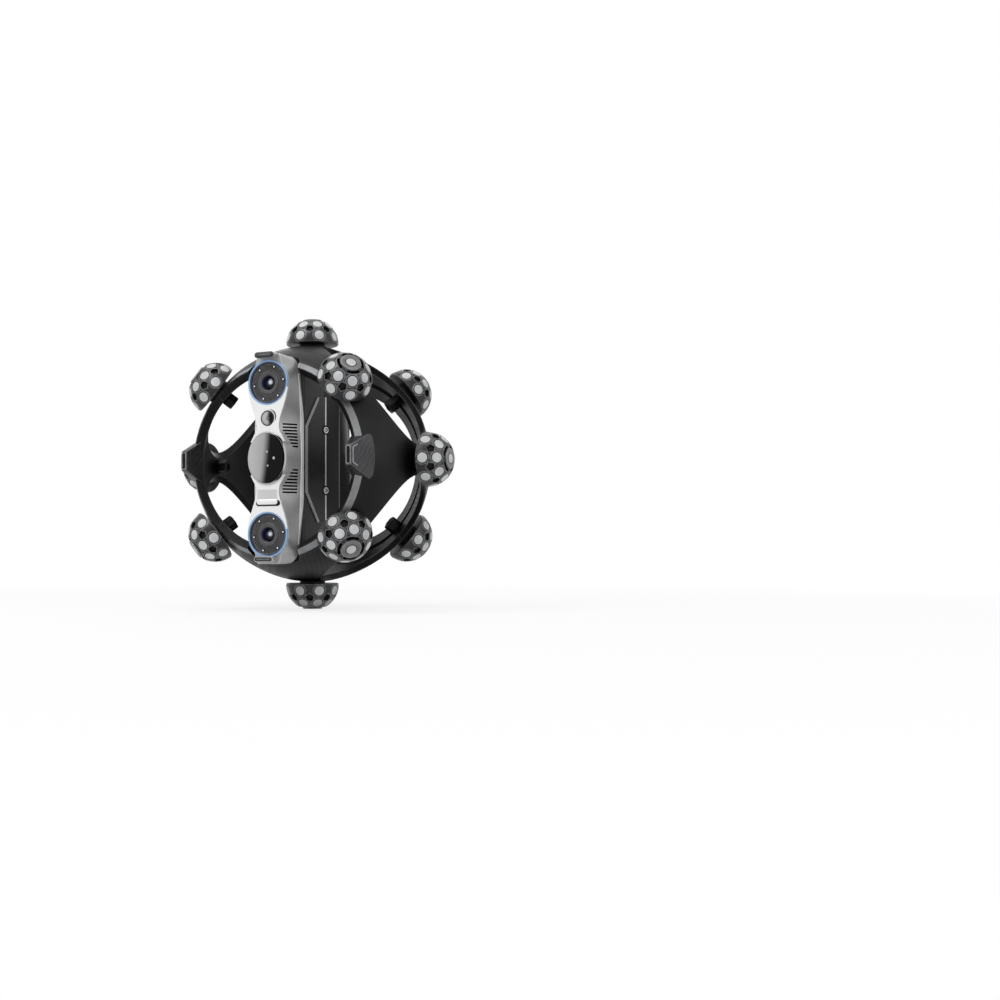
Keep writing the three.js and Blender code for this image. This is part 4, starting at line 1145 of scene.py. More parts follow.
def seat_form(z):
    profile = [(0, FACE_Y - 9), (SEAT_RADIUS, FACE_Y - 9), (SEAT_RADIUS, FACE_Y + 4), (0, FACE_Y + 4)]
    return turned_form(profile, 96, z)


def front_loop(z):
    """One level section of the housing: across the face, round the flank and along the back."""
    shares = [k / FLANK_STEPS for k in range(FLANK_STEPS + 1)]
    side = [(mixed(face_half(z), corner_half(z), share), mixed(FACE_Y, CORNER_Y, share), z)
            for share in shares]
    return side + [(-x, y, z) for x, y, z in reversed(side)]


def front_housing():
    loops = [front_loop(BODY_HALF * (2 * k / FACE_ROWS - 1)) for k in range(FACE_ROWS + 1)]
    made = piece("front_body", drawn_form(loops), [SILVER, BLACK], "silver", "front_housing")
    vents = [vent_form(k, x_sign, z_sign) for k in range(VENTS) for x_sign in BOTH for z_sign in BOTH]
    seats = [seat_form(CAMERA_Z), seat_form(-CAMERA_Z)]
    return cut(made, cutter(seats, [SILVER, BLACK]), cutter(vents, [SILVER, BLACK]))


print("front housing faces", len(front_housing().data.polygons))

# %% [markdown]
# Each bright plate covers the face from a camera to the window. Its side is the
# waisted curve, and the round and oval openings are cut out of it, so that a real
# rim shows round each lens. The plates are pressed, so their edges are rounded.

# %% Bright plates
PLATE_Y = FACE_Y - 0.3
PLATE_FRONT = PLATE_Y - 1.3
PLATE_EDGE = 0.3
LASER_Z = -CAGE * 0.354
LASER = (CAGE * 0.1106, 3.4)
FINDER_Z = CAGE * 0.323
FINDER = 6.9


def through(outline):
    return drawn_form([at_depth(outline, PLATE_Y - 5), at_depth(outline, PLATE_Y + 5)])


def plate_form(outline):
    """A flat outline of (x, z), with a small chamfer along its front edge."""
    middle_x, middle_z = (sum(values) / len(outline) for values in zip(*outline))
    reach = max(math.hypot(x - middle_x, z - middle_z) for x, z in outline)
    share = 1 - PLATE_EDGE / reach
    inner = [(mixed(middle_x, x, share), mixed(middle_z, z, share)) for x, z in outline]
    return drawn_form([at_depth(inner, PLATE_FRONT), at_depth(outline, PLATE_FRONT + PLATE_EDGE),
                       at_depth(outline, PLATE_Y)])


def front_plate(name, z_sign, last_hole):
    side = [(x - PLATE_EDGE, z) for x, z in PLATE_CURVE]
    outline = [(x, z_sign * z) for x, z in side] + [(-x, z_sign * z) for x, z in reversed(side)]
    made = piece(f"{name}_plate", plate_form(outline), [BRIGHT, BLACK], "bright", f"{name}_front_plate")
    window_hole = oval(WINDOW[0] + WINDOW_RIM - 0.3, WINDOW[1] + WINDOW_RIM - 0.3, 96)
    camera_hole = oval(SEAT_RADIUS, SEAT_RADIUS, 96, z_sign * CAMERA_Z)
    cut(made, cutter([through(hole) for hole in (camera_hole, window_hole, last_hole)], [BRIGHT, BLACK]))
    return rounded(made, 0.25, 2)


front_plate("upper", 1, oval(FINDER + 0.2, FINDER + 0.2, 64, FINDER_Z))
front_plate("lower", -1, pill(LASER[0] - 2, LASER[1] - 2, LASER[1] - 2, z=LASER_Z))
print("plates start", round(PLATE_FRONT - FACE_Y, 1), "mm before the face")

# %% [markdown]
# Above the laser window the plate carries a grey ramp that slopes forward. It is
# one block with a deeper lower edge, which is all that a slope needs.

# %% Ramp over the laser
def laser_slope():
    low, high, half = LASER_Z + LASER[1] - 1.0, LASER_Z + LASER[1] + 8.5, LASER[0] - 2.0
    loops = []
    for z, lift in ((high, 0.06), (low, 0.5)):
        front, back = PLATE_FRONT - lift, PLATE_FRONT + 0.6
        loops.append([(-half, front, z), (half, front, z), (half, back, z), (-half, back, z)])
    return rounded(piece("laser_slope", drawn_form(loops), RAMP_GREY, "silver"), 0.2, 2)


laser_slope()
print("ramp over the laser is", round(2 * (LASER[0] - 2.0), 1), "mm wide")

# %% [markdown]
# Round each camera runs a light ring that glows pale blue, with a deep blue edge
# inside it. The small lamps are white. A lamp could light the scene here, but
# the real ones only look lit, so a faint emission on a pale colour is enough.

# %% Lamp finishes
WHITE = (1.0, 1.0, 1.0, 1.0)


def glowing_blue():
    finish = Finish("glowing_blue", shade(0.45, 0.68, 0.95), 0.35, Emission_Strength=0.06,
                    Emission_Color=(*shade(0.5, 0.7, 0.95), 1.0))
    patches = finish.noise(150, 2)
    return finish.set(Base_Color=finish.blend(patches, shade(0.44, 0.58, 0.74), shade(0.62, 0.73, 0.84)),
                      Roughness=0.3 + 0.2 * patches)


def lamp_white():
    finish = Finish("lamp_white", shade(0.92), 0.3, Emission_Strength=0.3, Emission_Color=WHITE)
    return finish.set(Base_Color=finish.blend(finish.noise(900, 2), shade(0.85), shade(0.97)))


BLUE, WHITE_LAMP = glowing_blue(), lamp_white()
DEEP_BLUE = grained("deep_blue", shade(0.05, 0.11, 0.22), shade(0.1, 0.2, 0.36), 0.32, mottle=120)
print("lamp finishes ready")

# %% [markdown]
# A coated lens shows a blue bloom at one side and a pale glint at the other.
# Reflections of the plain studio are too even for that, so both are drawn as
# soft masks in the piece's own space, the same for the upper and lower lens.
# The dial round it is grey with black ribs, and the bore is a very dark blue:
# the dark is its own, the blue tint is a painted reflection of the lens's bloom.

# %% Lens finishes
def lens_glass():
    finish = Finish("lens_glass", shade(0.03), 0.2, 0.0, Specular_IOR_Level=0.25)
    x, _, z = finish.axes()
    local = (finish.maths("ABSOLUTE", z) - CAMERA_Z * MM) * finish.maths("SIGN", z)
    blue = finish.mask(0 - x, 0.002, 0.0052)
    glint_x, glint_z = x - 0.0013, local - 0.0006
    reach = finish.maths("SQRT", glint_x * glint_x + glint_z * glint_z)
    glint = 1 - finish.mask(reach, 0.0009, 0.0029)
    colour = finish.blend(blue * 0.8, shade(0.03), shade(0.1, 0.17, 0.42))
    return finish.set(Base_Color=finish.blend(glint, colour, shade(0.86, 0.89, 0.93)),
                      Roughness=0.18 + 0.12 * finish.noise(500, 2))


LENS = lens_glass()
RIBBED = grained("ribbed_black", shade(0.1), shade(0.15), 0.45, edge_colour=shade(0.3))
# painted reflection: the blue tint of the bore's wall carries the lens's blue bloom
BORE_BLUE_REFLECTION = grained("bore_blue_reflection", shade(0.03, 0.05, 0.11), shade(0.08, 0.11, 0.27), 0.3, mottle=160,
                    Specular_IOR_Level=0.3)
DIAL = grained("dial_grey", shade(0.22, 0.21, 0.215), shade(0.3, 0.29, 0.295), 0.42, mottle=150,
               edge_colour=shade(0.5))
print("lens finishes ready")

# %% [markdown]
# Each camera front is a nest of rings: the glowing line, its deep blue edge, a
# dial with a raised collar, and a stepped bore with the lens at its bottom. All
# are lathe work. The profiles close on themselves, so every ring is a solid.

# %% Camera rings
LIGHT_OUTER = CAGE * 0.1858
LIGHT_INNER = LIGHT_OUTER - 3.1
CAMERA_FRONT = FACE_Y - 1.6
CAMERA_FLOOR = FACE_Y + 3.7
DIAL_Y = CAMERA_FLOOR - 3.0
LENS_Y = CAMERA_FLOOR - 1.0
BORE = 5.4
LIGHT_LINE = [(LIGHT_INNER + 1.25, CAMERA_FLOOR), (LIGHT_INNER + 1.25, CAMERA_FRONT + 0.45),
              (LIGHT_INNER + 1.6, CAMERA_FRONT + 0.1), (LIGHT_OUTER - 0.35, CAMERA_FRONT),
              (LIGHT_OUTER, CAMERA_FRONT + 0.4), (LIGHT_OUTER, CAMERA_FLOOR)]
LIGHT_EDGE = [(LIGHT_INNER, CAMERA_FLOOR), (LIGHT_INNER, CAMERA_FRONT + 1.5),
              (LIGHT_INNER + 1.35, CAMERA_FRONT + 0.5), (LIGHT_INNER + 1.35, CAMERA_FLOOR)]
DIAL_RING = [(7.0, CAMERA_FLOOR), (7.0, DIAL_Y - 0.9), (7.3, DIAL_Y - 1.3), (7.7, DIAL_Y - 1.5),
             (9.9, DIAL_Y - 1.5), (10.4, DIAL_Y - 1.1), (10.9, DIAL_Y + 0.1), (11.3, DIAL_Y + 0.2),
             (17.0, DIAL_Y + 0.2), (17.2, DIAL_Y - 0.1), (LIGHT_INNER - 0.25, DIAL_Y - 0.1),
             (LIGHT_INNER - 0.25, CAMERA_FLOOR)]
BORE_RING = [(7.1, CAMERA_FLOOR), (7.1, DIAL_Y - 0.8), (6.6, DIAL_Y - 0.8), (6.5, DIAL_Y),
             (6.1, DIAL_Y + 0.3), (BORE, CAMERA_FLOOR - 0.8), (BORE - 0.1, CAMERA_FLOOR)]
LENS_DOME = [(0, LENS_Y - 1.4), (1.5, LENS_Y - 1.32), (3.0, LENS_Y - 1.08), (4.2, LENS_Y - 0.7),
             (BORE, LENS_Y), (BORE + 0.3, LENS_Y + 0.6), (0, LENS_Y + 0.6)]


def ring_form(profile, z, steps=96):
    return turned_form(profile + [profile[0]], steps, z)


def camera_rings(side, z):
    piece(f"{side}_light_line", ring_form(LIGHT_LINE, z), BLUE, "glow", f"{side}_ring_light")
    piece(f"{side}_light_edge", ring_form(LIGHT_EDGE, z), DEEP_BLUE, "glow")
    piece(f"{side}_dial", ring_form(DIAL_RING, z), DIAL, "charcoal", f"{side}_lens_plate")
    piece(f"{side}_bore", ring_form(BORE_RING, z), BORE_BLUE_REFLECTION, "glass")
    piece(f"{side}_glass", turned_form(LENS_DOME, 64, z), LENS, "glass", f"{side}_lens")


CAMERAS = {"upper": CAMERA_Z, "lower": -CAMERA_Z}
for side, z in CAMERAS.items():
    camera_rings(side, z)
print("camera rings ready")

# %% [markdown]
# Fine radial ribs cover the dial, and six small white lamps stand on it, each in
# a dark seat. An array modifier could repeat them round the lens. A loop in
# Python does the same, and all ribs of one dial become one mesh.

# %% Ribs and small lamps
RIB_COUNT = 40
RIB = (11.8, 16.6, 0.75)
LAMP_SPOTS = [(15.4 * math.cos(angle), 15.4 * math.sin(angle))
              for angle in (math.radians(8.7 + 60 * k) for k in range(6))]
LAMP = [(0, DIAL_Y - 0.75), (0.45, DIAL_Y - 0.68), (0.75, DIAL_Y - 0.4), (0.8, DIAL_Y + 0.4),
        (0, DIAL_Y + 0.4)]
LAMP_SEAT = [(0.8, DIAL_Y + 0.3), (0.8, DIAL_Y - 0.5), (1.4, DIAL_Y - 0.4), (1.5, DIAL_Y + 0.3),
             (0.8, DIAL_Y + 0.3)]


def rib_form(angle, z):
    inner, outer, width = RIB
    along = Vector((math.cos(angle), 0, math.sin(angle)))
    across = Vector((-math.sin(angle), 0, math.cos(angle)))
    corners = [(inner, 1, -1), (outer, -1, -1), (outer, -1, 1), (inner, 1, 1)]
    loops = []
    for y, shrink in [(DIAL_Y - 0.25, 0.25), (DIAL_Y - 0.1, 0.0), (DIAL_Y + 0.5, 0.0)]:
        loops.append([tuple(Vector((0, y, z)) + along * (reach + sign * shrink)
                            + across * (side * (width - shrink) / 2)) for reach, sign, side in corners])
    return drawn_form(loops)


for side, z in CAMERAS.items():
    ribs = joined([rib_form(math.tau * k / RIB_COUNT, z) for k in range(RIB_COUNT)])
    piece(f"{side}_ribs", ribs, RIBBED, "charcoal")
    for part, profile, finish, slot in [("lamps", LAMP, WHITE_LAMP, "bright"),
                                        ("lamp_seats", LAMP_SEAT, BLACK, "charcoal")]:
        forms = [shifted(turned_form(profile, 20, z), *spot) for spot in LAMP_SPOTS]
        piece(f"{side}_{part}", joined(forms), finish, slot)
print("ribs", RIB_COUNT, "and small lamps", len(LAMP_SPOTS))

# %% [markdown]
# The oval window is dark glass. A pale reflection covers its left part and ends
# in a slanting curve. A mirror of the studio would show a plain white here, so
# the reflection's shape is drawn as a colour in the piece's own space. The small
# finder lens beside it has the same look, with a straight border.

# %% Window and finder finishes
def window_glass_finish():
    finish = Finish("window_glass", shade(0.03), 0.2, 0.0, Specular_IOR_Level=0.12)
    x, _, z = finish.axes()
    border = 0.0022 + 0.13 * z - 3.0 * z * z
    pale = 1 - finish.mask(x - border, -0.0065, 0.002)
    fade = finish.mask(x, -0.018, 0.003)
    clouds = finish.noise(70, 2)
    grey = finish.blend(fade * 0.85 + clouds * 0.15, shade(0.74), shade(0.62))
    return finish.set(Base_Color=finish.blend(pale, shade(0.025), grey), Metallic=0.25 * pale,
                      Roughness=0.07 + 0.2 * pale + 0.04 * clouds)


def finder_finish():
    finish = Finish("finder_glass", shade(0.05), 0.2, 0.0, Specular_IOR_Level=0.15)
    x, _, z = finish.axes()
    dark = finish.mask(x + 0.12 * (z - FINDER_Z * MM), -0.0005, 0.003)
    return finish.set(Base_Color=finish.blend(dark, shade(0.72), shade(0.03)),
                      Roughness=0.3 - 0.2 * dark)


WINDOW_GLASS, FINDER_GLASS = window_glass_finish(), finder_finish()
print("window finishes ready")

# %% [markdown]
# The window's glass is slightly domed and stands in a silver bezel, with dark
# sickles laid on the bezel at its upper and lower right. The projector and two
# sensors behind it show as pale dots. Rings of ovals make glass and bezel,
# because a lathe could only turn circles.

# %% Window
GLASS_FRONT = FACE_Y - 4.2
GLASS_RISE = 1.2
SICKLE_STEPS = 24
BEZEL = [(0.3, 1), (0.3, -2.4), (0.7, -3.0), (1.6, -3.0), (2.2, -2.4), (2.4, -0.2), (2.4, 6),
         (0.3, 6), (0.3, 1)]
DOTS = [(1.8, 5.6, 0.9), (8.6, -0.2, 1.3), (2.4, -6.9, 0.9)]


def crescent(name, wide, tall, z, angles, thick, front):
    """A dark sickle that hugs an oval, thickest in its middle; beside the finder it is painted shade."""
    start, end = (math.radians(angle) for angle in angles)
    loops = []
    for k, (across, rise) in enumerate(arc(start, end - start, SICKLE_STEPS)):
        swell = thick * math.sin(math.pi * k / SICKLE_STEPS) + 0.03
        corners = [(0, front - 0.06), (swell, front - 0.06), (swell, front + 0.5), (0, front + 0.5)]
        loops.append([((wide + reach) * across, y, z + (tall + reach) * rise) for reach, y in corners])
    return piece(name, drawn_form(loops), BLACK, "charcoal")


def window_dot(x, z, radius):
    front = GLASS_FRONT - GLASS_RISE * (1 - (x / WINDOW[0]) ** 2 - (z / WINDOW[1]) ** 2)
    profile = [(0, front - 0.12), (radius * 0.7, front - 0.1), (radius, front + 0.05),
               (radius, front + 1), (0, front + 1)]
    return shifted(turned_form(profile, 24), x, z)


def window_parts():
    wide, tall = WINDOW
    rings = [(1.0, FACE_Y), (1.0, GLASS_FRONT + 0.1), (0.985, GLASS_FRONT - 0.05)]
    rings += [(share, GLASS_FRONT - GLASS_RISE * (1 - share ** 2))
              for share in (0.9, 0.8, 0.65, 0.5, 0.35, 0.2, 0.05)]
    pane = oval_form([(wide * share, tall * share, y) for share, y in rings])
    bezel = oval_form([(wide + grow, tall + grow, FACE_Y + back) for grow, back in BEZEL],
                      closed_ends=False)
    piece("window_pane", pane, WINDOW_GLASS, "glass", "window_glass")
    piece("window_bezel", bezel, SILVER, "silver")
    for name, angles in (("upper", (24, 66)), ("lower", (-66, -24))):
        crescent(f"{name}_window_crescent", wide + 0.9, tall + 0.9, 0, angles, 1.5, FACE_Y - 3.0)
    piece("window_dots", joined([window_dot(*dot) for dot in DOTS]), TRIM, "glass")


window_parts()
print("window", [round(2 * size, 1) for size in WINDOW], "mm")

# %% [markdown]
# The finder is a small domed lens in a dark ring, with a fine ring near its
# middle and a sickle of painted shade beside it. All of it is lathe work again.

# %% Finder
FINDER_LENS = [(0, -1.2), (2.6, -1.05), (4.4, -0.7), (5.7, -0.2), (6.2, 0.2), (6.2, 2), (0, 2)]
FINDER_RING = [(6.1, 2), (6.1, -0.2), (6.4, -0.5), (6.75, -0.4), (FINDER, 0), (FINDER, 2), (6.1, 2)]
PUPIL_RING = [(1.0, -1.1), (1.1, -1.25), (1.7, -1.2), (1.8, -1.0), (1.0, -1.0)]


def on_plate(profile, steps):
    return turned_form([(radius, PLATE_FRONT + y) for radius, y in profile], steps, FINDER_Z)


def finder():
    piece("finder_glass", on_plate(FINDER_LENS, 64), FINDER_GLASS, "glass", "finder_lens")
    piece("finder_ring", on_plate(FINDER_RING, 64), CHARCOAL, "glass")
    piece("finder_pupil", shifted(on_plate(PUPIL_RING, 32), 1.3, -0.2), CHARCOAL, "glass")
    # painted shadow: a dark sickle at the upper right of the finder's ring
    crescent("finder_painted_shadow", 8.1, 8.1, FINDER_Z, (-28, 75), 1.3, PLATE_FRONT)


finder()
print("finder", 2 * FINDER, "mm wide")

# %% [markdown]
# The laser window is a bright pill that stands out of the plate, with a painted
# shadow along its lower and right edge. The shadow is a dark pill of the same
# form, a little larger and set lower and to the right.

# %% Laser window
def laser():
    wide, tall = LASER[0] + 0.1, LASER[1] - 0.9
    # painted shadow: a dark pill that peeks out below and right of the pane
    edge = pill_form([(wide, tall, tall, PLATE_FRONT - 0.35),
                      (wide + 0.1, tall + 0.1, tall + 0.1, PLATE_FRONT - 0.2),
                      (wide + 0.1, tall + 0.1, tall + 0.1, PLATE_FRONT + 2)], LASER_Z)
    piece("laser_shadow", shifted(edge, 0.8, -0.7), BLACK, "bright")
    wide, tall = LASER[0] - 1.6, LASER[1] - 1.0
    pane = pill_form([(wide - 0.5, tall - 0.5, tall - 0.5, PLATE_FRONT - 0.9),
                      (wide, tall, tall, PLATE_FRONT - 0.6),
                      (wide, tall, tall, PLATE_FRONT + 2)], LASER_Z)
    piece("laser_pane", shifted(pane, 0, 0.5), BRIGHT, "bright", "laser_window")


laser()
print("laser window", round(2 * (LASER[0] - 1.6), 1), "mm wide")

# %% [markdown]
# A short visor stands out over each end of the face, with a dark rounded insert
# in a pale rim. Separate pills, one before the other, read as a part that was
# pressed in, which one block with painted borders would not.

# %% End inserts
VISORS = {"top": 93.7, "bottom": -91.2}
INSERT_WIDE = CAGE * 0.0796
INSERT_TALL = 2.0
INSERT_Y = FACE_Y - 8.6


def end_insert(side, z):
    def levels(*rows):
        return pill_form([(INSERT_WIDE + wide, INSERT_TALL + tall, INSERT_TALL + tall, y)
                          for wide, tall, y in rows], z)

    shelf = levels((0.7, 0.5, FACE_Y + 2), (0.7, 0.5, INSERT_Y + 0.9))
    rim = levels((0.9, 0.6, INSERT_Y + 1.0), (0.9, 0.6, INSERT_Y + 0.3), (0.6, 0.4, INSERT_Y))
    core = levels((0, -0.2, INSERT_Y + 1), (0, -0.2, INSERT_Y - 0.3), (-0.4, -0.6, INSERT_Y - 0.5))
    line = levels((-2.2, 0.35 - INSERT_TALL, INSERT_Y), (-2.2, 0.35 - INSERT_TALL, INSERT_Y - 0.6))
    piece(f"{side}_visor", shelf, SILVER, "silver")
    piece(f"{side}_insert_rim", rim, CHARCOAL if z > 0 else EDGE_GREY, "charcoal")
    piece(f"{side}_insert_core", core, RIBBED, "charcoal", f"{side}_insert")
    piece(f"{side}_insert_line", line, BOSS_METAL, "bright")


for side, z in VISORS.items():
    end_insert(side, z)
print("end inserts ready")

# %% [markdown]
# Behind the silver front the body is a charcoal case and a darker rear case. A
# box would not fit the round cage. So both are drawn as sections across the
# body, with flat flanks and ends that follow the inside of the cage, and their
# long edges are rounded.

# %% Middle and rear case
SEAM_Y = -CAGE * 0.292
SEAM_WIDE = CAGE * 0.2832
REAR_Y = -CAGE * 0.0177
REAR_WIDE = CAGE * 0.2965
BODY_LIMIT = RING_INSIDE - 0.6
REAR_ROUND = 7.0
REAR_HALF = PETAL_INSIDE - 15.5
SECTION_STEPS = 16
CASE_STEPS = 8


def case_loop(y, half, limit=CAGE):
    """A section with straight flanks, whose ends follow the sphere up to a height."""
    spots = [half * (1 - 2 * k / SECTION_STEPS) for k in range(SECTION_STEPS + 1)]
    top = [(x, y, min(math.sqrt(BODY_LIMIT ** 2 - y * y - x * x), limit)) for x in spots]
    return top + [(x, y, -z) for x, y, z in reversed(top)]


def middle_loops():
    shares = [k / CASE_STEPS for k in range(CASE_STEPS + 1)]
    return [case_loop(mixed(CORNER_Y + 0.3, SEAM_Y, share), mixed(CORNER_WIDE, SEAM_WIDE, share))
            for share in shares]


def rear_loops():
    turn = REAR_Y - REAR_ROUND
    loops = []
    for k in range(CASE_STEPS + 1):
        share = k / CASE_STEPS
        loops.append(case_loop(mixed(SEAM_Y + 0.3, turn, share), mixed(SEAM_WIDE, REAR_WIDE, share),
                               mixed(CAGE, REAR_HALF, share)))
    for across, rise in arc(0, math.pi / 2, CASE_STEPS)[1:]:
        wide = REAR_WIDE - REAR_ROUND * (1 - across)
        loops.append(case_loop(turn + REAR_ROUND * rise, wide, REAR_HALF))
    return loops


for name, node, loops, finish in [("middle_case", "middle_housing", middle_loops(), CHARCOAL),
                                  ("rear_case", "rear_housing", rear_loops(), DARK)]:
    rounded(piece(name, drawn_form(loops), finish, "charcoal", node), 0.8, 3)
print("cases ready")

# %% [markdown]
# Each flank carries a raised panel, cut to a blunt point at the front. Thin
# pale bands follow its front edges, where the panel is chamfered: the bands are
# raised, and their pale grey is a painted highlight on that chamfer. All of it
# lies on a sloping plane, so one helper turns a place along the flank, a height
# and a lift into a point.

# %% Forms on the flank
PANEL_HIGH = CAGE * 0.5133
PANEL_FRONT = CAGE * 0.2743
PANEL_SHOULDER = CAGE * 0.1504
PANEL_START = 2.0
RUN = Vector((SEAM_WIDE - CORNER_WIDE, SEAM_Y - CORNER_Y, 0))
RUN_WAY = RUN.normalized()
RUN_OUT = Vector((RUN_WAY.y, -RUN_WAY.x, 0))


def on_flank(along, z, lift, x_sign):
    spot = Vector((CORNER_WIDE, CORNER_Y, 0)) + RUN_WAY * along + RUN_OUT * lift
    return (x_sign * spot.x, spot.y, z)


def flank_form(outline, low, high, x_sign, soft=0.25):
    """A flat outline of (along, z) raised from the flank, with a soft upper edge."""
    middle = [sum(values) / len(outline) for values in zip(*outline)]
    inner = [towards(spot, middle, soft) for spot in outline]
    return drawn_form([[on_flank(a, z, lift, x_sign) for a, z in spots]
                       for spots, lift in ((outline, low), (outline, high - soft), (inner, high))])


def stripe(spots, width, low, high, x_sign):
    """A narrow raised band along a line of (along, z) spots."""
    forms = []
    for start, end in zip(spots, spots[1:]):
        start, end = Vector(start), Vector(end)
        way = (end - start).normalized()
        side = Vector((-way.y, way.x)) * width / 2
        reach = way * width / 4
        corners = [start - side - reach, end - side + reach, end + side + reach, start + side - reach]
        forms.append(flank_form([tuple(corner) for corner in corners], low, high, x_sign, 0.1))
    return joined(forms)


def panel_spots(inset=0.0):
    upper = [(PANEL_START + PANEL_SHOULDER, PANEL_HIGH - inset),
             (PANEL_START + inset, PANEL_FRONT - inset / 2)]
    return upper + [(along, -z) for along, z in reversed(upper)]


print("flank is", round(RUN.length, 1), "mm deep")

# %% [markdown]
# A bright seam runs down behind the panel, with two screws in it, and a pale
# chamfer marks the corner of the silver front. The chamfer is real, but its
# bright finish is a painted highlight on that corner. The chamfer follows that
# corner up to the hood, so it is drawn in forty steps.

# %% Seam, chamfer and screws
PANEL_LIFT = 1.2
SEAM_AT = RUN.length - 0.55
SCREW_Z = 28.0
SCREW_STEPS = 32
CHAMFER_STEPS = 40
SCREW = [(0, 2.0), (0.8, 2.0), (0.9, 1.55), (1.8, 1.55), (1.85, 2.2), (2.8, 2.2), (3.0, 2.0),
         (3.05, 1.6), (4.4, 1.55), (4.5, 0.6), (0, 0.6)]
DARK_ROWS = (2, 3, 7, 8)


def chamfer_form(x_sign):
    loops = []
    for k in range(CHAMFER_STEPS + 1):
        z = HOOD_START * (2 * k / CHAMFER_STEPS - 1)
        run, out = flank_ways(corner_half(z), face_half(z))
        rear = Vector((corner_half(z), CORNER_Y, z))
        spots = [rear + run * along + out * lift for along, lift in
                 [(0, -0.5), (0, 0.3), (-0.5, 0.45), (-3.0, 0.45), (-3.4, -0.1), (-3.4, -0.6)]]
        loops.append([(x_sign * spot.x, spot.y, spot.z) for spot in spots])
    return drawn_form(loops)


def screw(name, z, x_sign):
    centre = Vector(on_flank(SEAM_AT, z, 0, x_sign))
    out = Vector((x_sign * RUN_OUT.x, RUN_OUT.y, 0))
    across = UP.cross(out)
    loops = [[tuple(centre + (across * side + UP * rise) * radius + out * lift)
              for side, rise in around(SCREW_STEPS)] for radius, lift in SCREW]
    slots = [int(row in DARK_ROWS) for row in range(len(SCREW) - 1) for _ in range(SCREW_STEPS)]
    return piece(name, drawn_form(loops, closed_ends=False), [BRIGHT, BLACK], "bright", slots=slots)


def flank(side, x_sign):
    rear = RUN.length - 1.2
    outline = panel_spots() + [(rear, -PANEL_HIGH), (rear, PANEL_HIGH)]
    edge = stripe(panel_spots(1.1), 2.4, 0.2, PANEL_LIFT + 0.12, x_sign)
    seam = stripe([(SEAM_AT, PANEL_HIGH), (SEAM_AT, -PANEL_HIGH)], 1.3, -0.2, PANEL_LIFT + 0.3, x_sign)
    piece(f"{side}_flank_panel", flank_form(outline, -0.2, PANEL_LIFT, x_sign), CHARCOAL, "charcoal",
          f"{side}_side_panel")
    # painted highlight: the pale grey band on the panel's chamfered front edge
    piece(f"{side}_panel_edge", edge, EDGE_GREY, "bright")
    piece(f"{side}_seam", seam, BRIGHT, "bright")
    # painted highlight: the chamfer takes the bright plate finish
    piece(f"{side}_chamfer", chamfer_form(x_sign), BRIGHT, "silver")
    for place, z in (("upper", SCREW_Z), ("lower", -SCREW_Z)):
        screw(f"{side}_{place}_screw", z, x_sign)


flank("right", 1)
flank("left", -1)
print("flanks ready")

# %% [markdown]
# The hand grip stands behind the body: a leaning oval column with an arm above
# and below the hand. It could be sculpted, but its parts are plain: each solid
# is the tight hull of a few oval outlines.

# %% Parts of the grip
GRIP_LEAN = CAGE * 0.0796
GRIP_HALF = CAGE * 0.4602
GRIP_WIDE = CAGE * 0.1327
GRIP_DEEP = CAGE * 0.1593
ARM_HEIGHT = CAGE * 0.1947
ARM_WIDE = CAGE * 0.115
ARM_RISE = CAGE * 0.0531
CAP_HEIGHT = CAGE * 0.1327
CAP_SHARE = 0.6
PAD_THICK = 1.8


def grip_y(z):
    return GRIP_BACK - GRIP_LEAN * z / GRIP_HALF


def back_of_grip(z):
    return grip_y(z) + GRIP_DEEP


def grip_oval(z, share=1.0, at=None):
    middle = grip_y(z if at is None else at)
    return [(GRIP_WIDE * share * x, middle + GRIP_DEEP * share * y, z) for x, y in oval(1.0, 1.0)]


def arm_form(z_sign):
    inner = z_sign * (GRIP_HALF + ARM_RISE)
    points = grip_oval(z_sign * GRIP_HALF)
    points += grip_oval(z_sign * (GRIP_HALF + CAP_HEIGHT), CAP_SHARE, z_sign * GRIP_HALF)
    points += [(x, REAR_Y + 0.3, z) for z in (inner, inner + z_sign * ARM_HEIGHT)
               for x in (-ARM_WIDE, ARM_WIDE)]
    return hull_form(points)


print("grip is", round(2 * GRIP_HALF), "mm tall between its arms")

# %% [markdown]
# The grip carries a flat panel for the buttons at the back, a pocket for the
# trigger at the front, and below a block with two ears for the socket's cover.
# Their places are worked out once, because the moving parts need them too.

# %% Places on the grip
TRIGGER_Z = CAGE * 0.2301
TRIGGER_FRONT = grip_y(TRIGGER_Z) - GRIP_DEEP - 5
BUTTON_Z = CAGE * 0.2655
BUTTON_PITCH = 12.0
BUTTON = 4.2
PANEL_WIDE = 8.0
PANEL_LOW = BUTTON_Z - BUTTON_PITCH - BUTTON - 2 * PAD_THICK
PANEL_TOP = 2 * BUTTON_Z - PANEL_LOW
PANEL_Y = back_of_grip(PANEL_LOW)
KNUCKLE = 2.2
EAR = 2.5
COVER_WIDE = 9.0
COVER_HIGH = 16.0
BLOCK_WIDE = COVER_WIDE + EAR
BLOCK_Y = back_of_grip(-GRIP_HALF) + PAD_THICK
PIN_Y = BLOCK_Y + 0.3 + KNUCKLE
PIN_Z = -GRIP_HALF - CAGE * 0.1416
BLOCK_TOP = PIN_Z + COVER_HIGH
print("cover pin at", round(PIN_Y, 2), round(PIN_Z, 2))

# %% [markdown]
# Two moulded half shells make up the real grip. Here the column, arms, panel and
# block are joined into one skin, and the pockets for the trigger, the buttons and
# the socket are cut. Fine dark inlays down the middle show where the half shells
# meet. A cut groove would do too, but it would spoil the rounded edges.

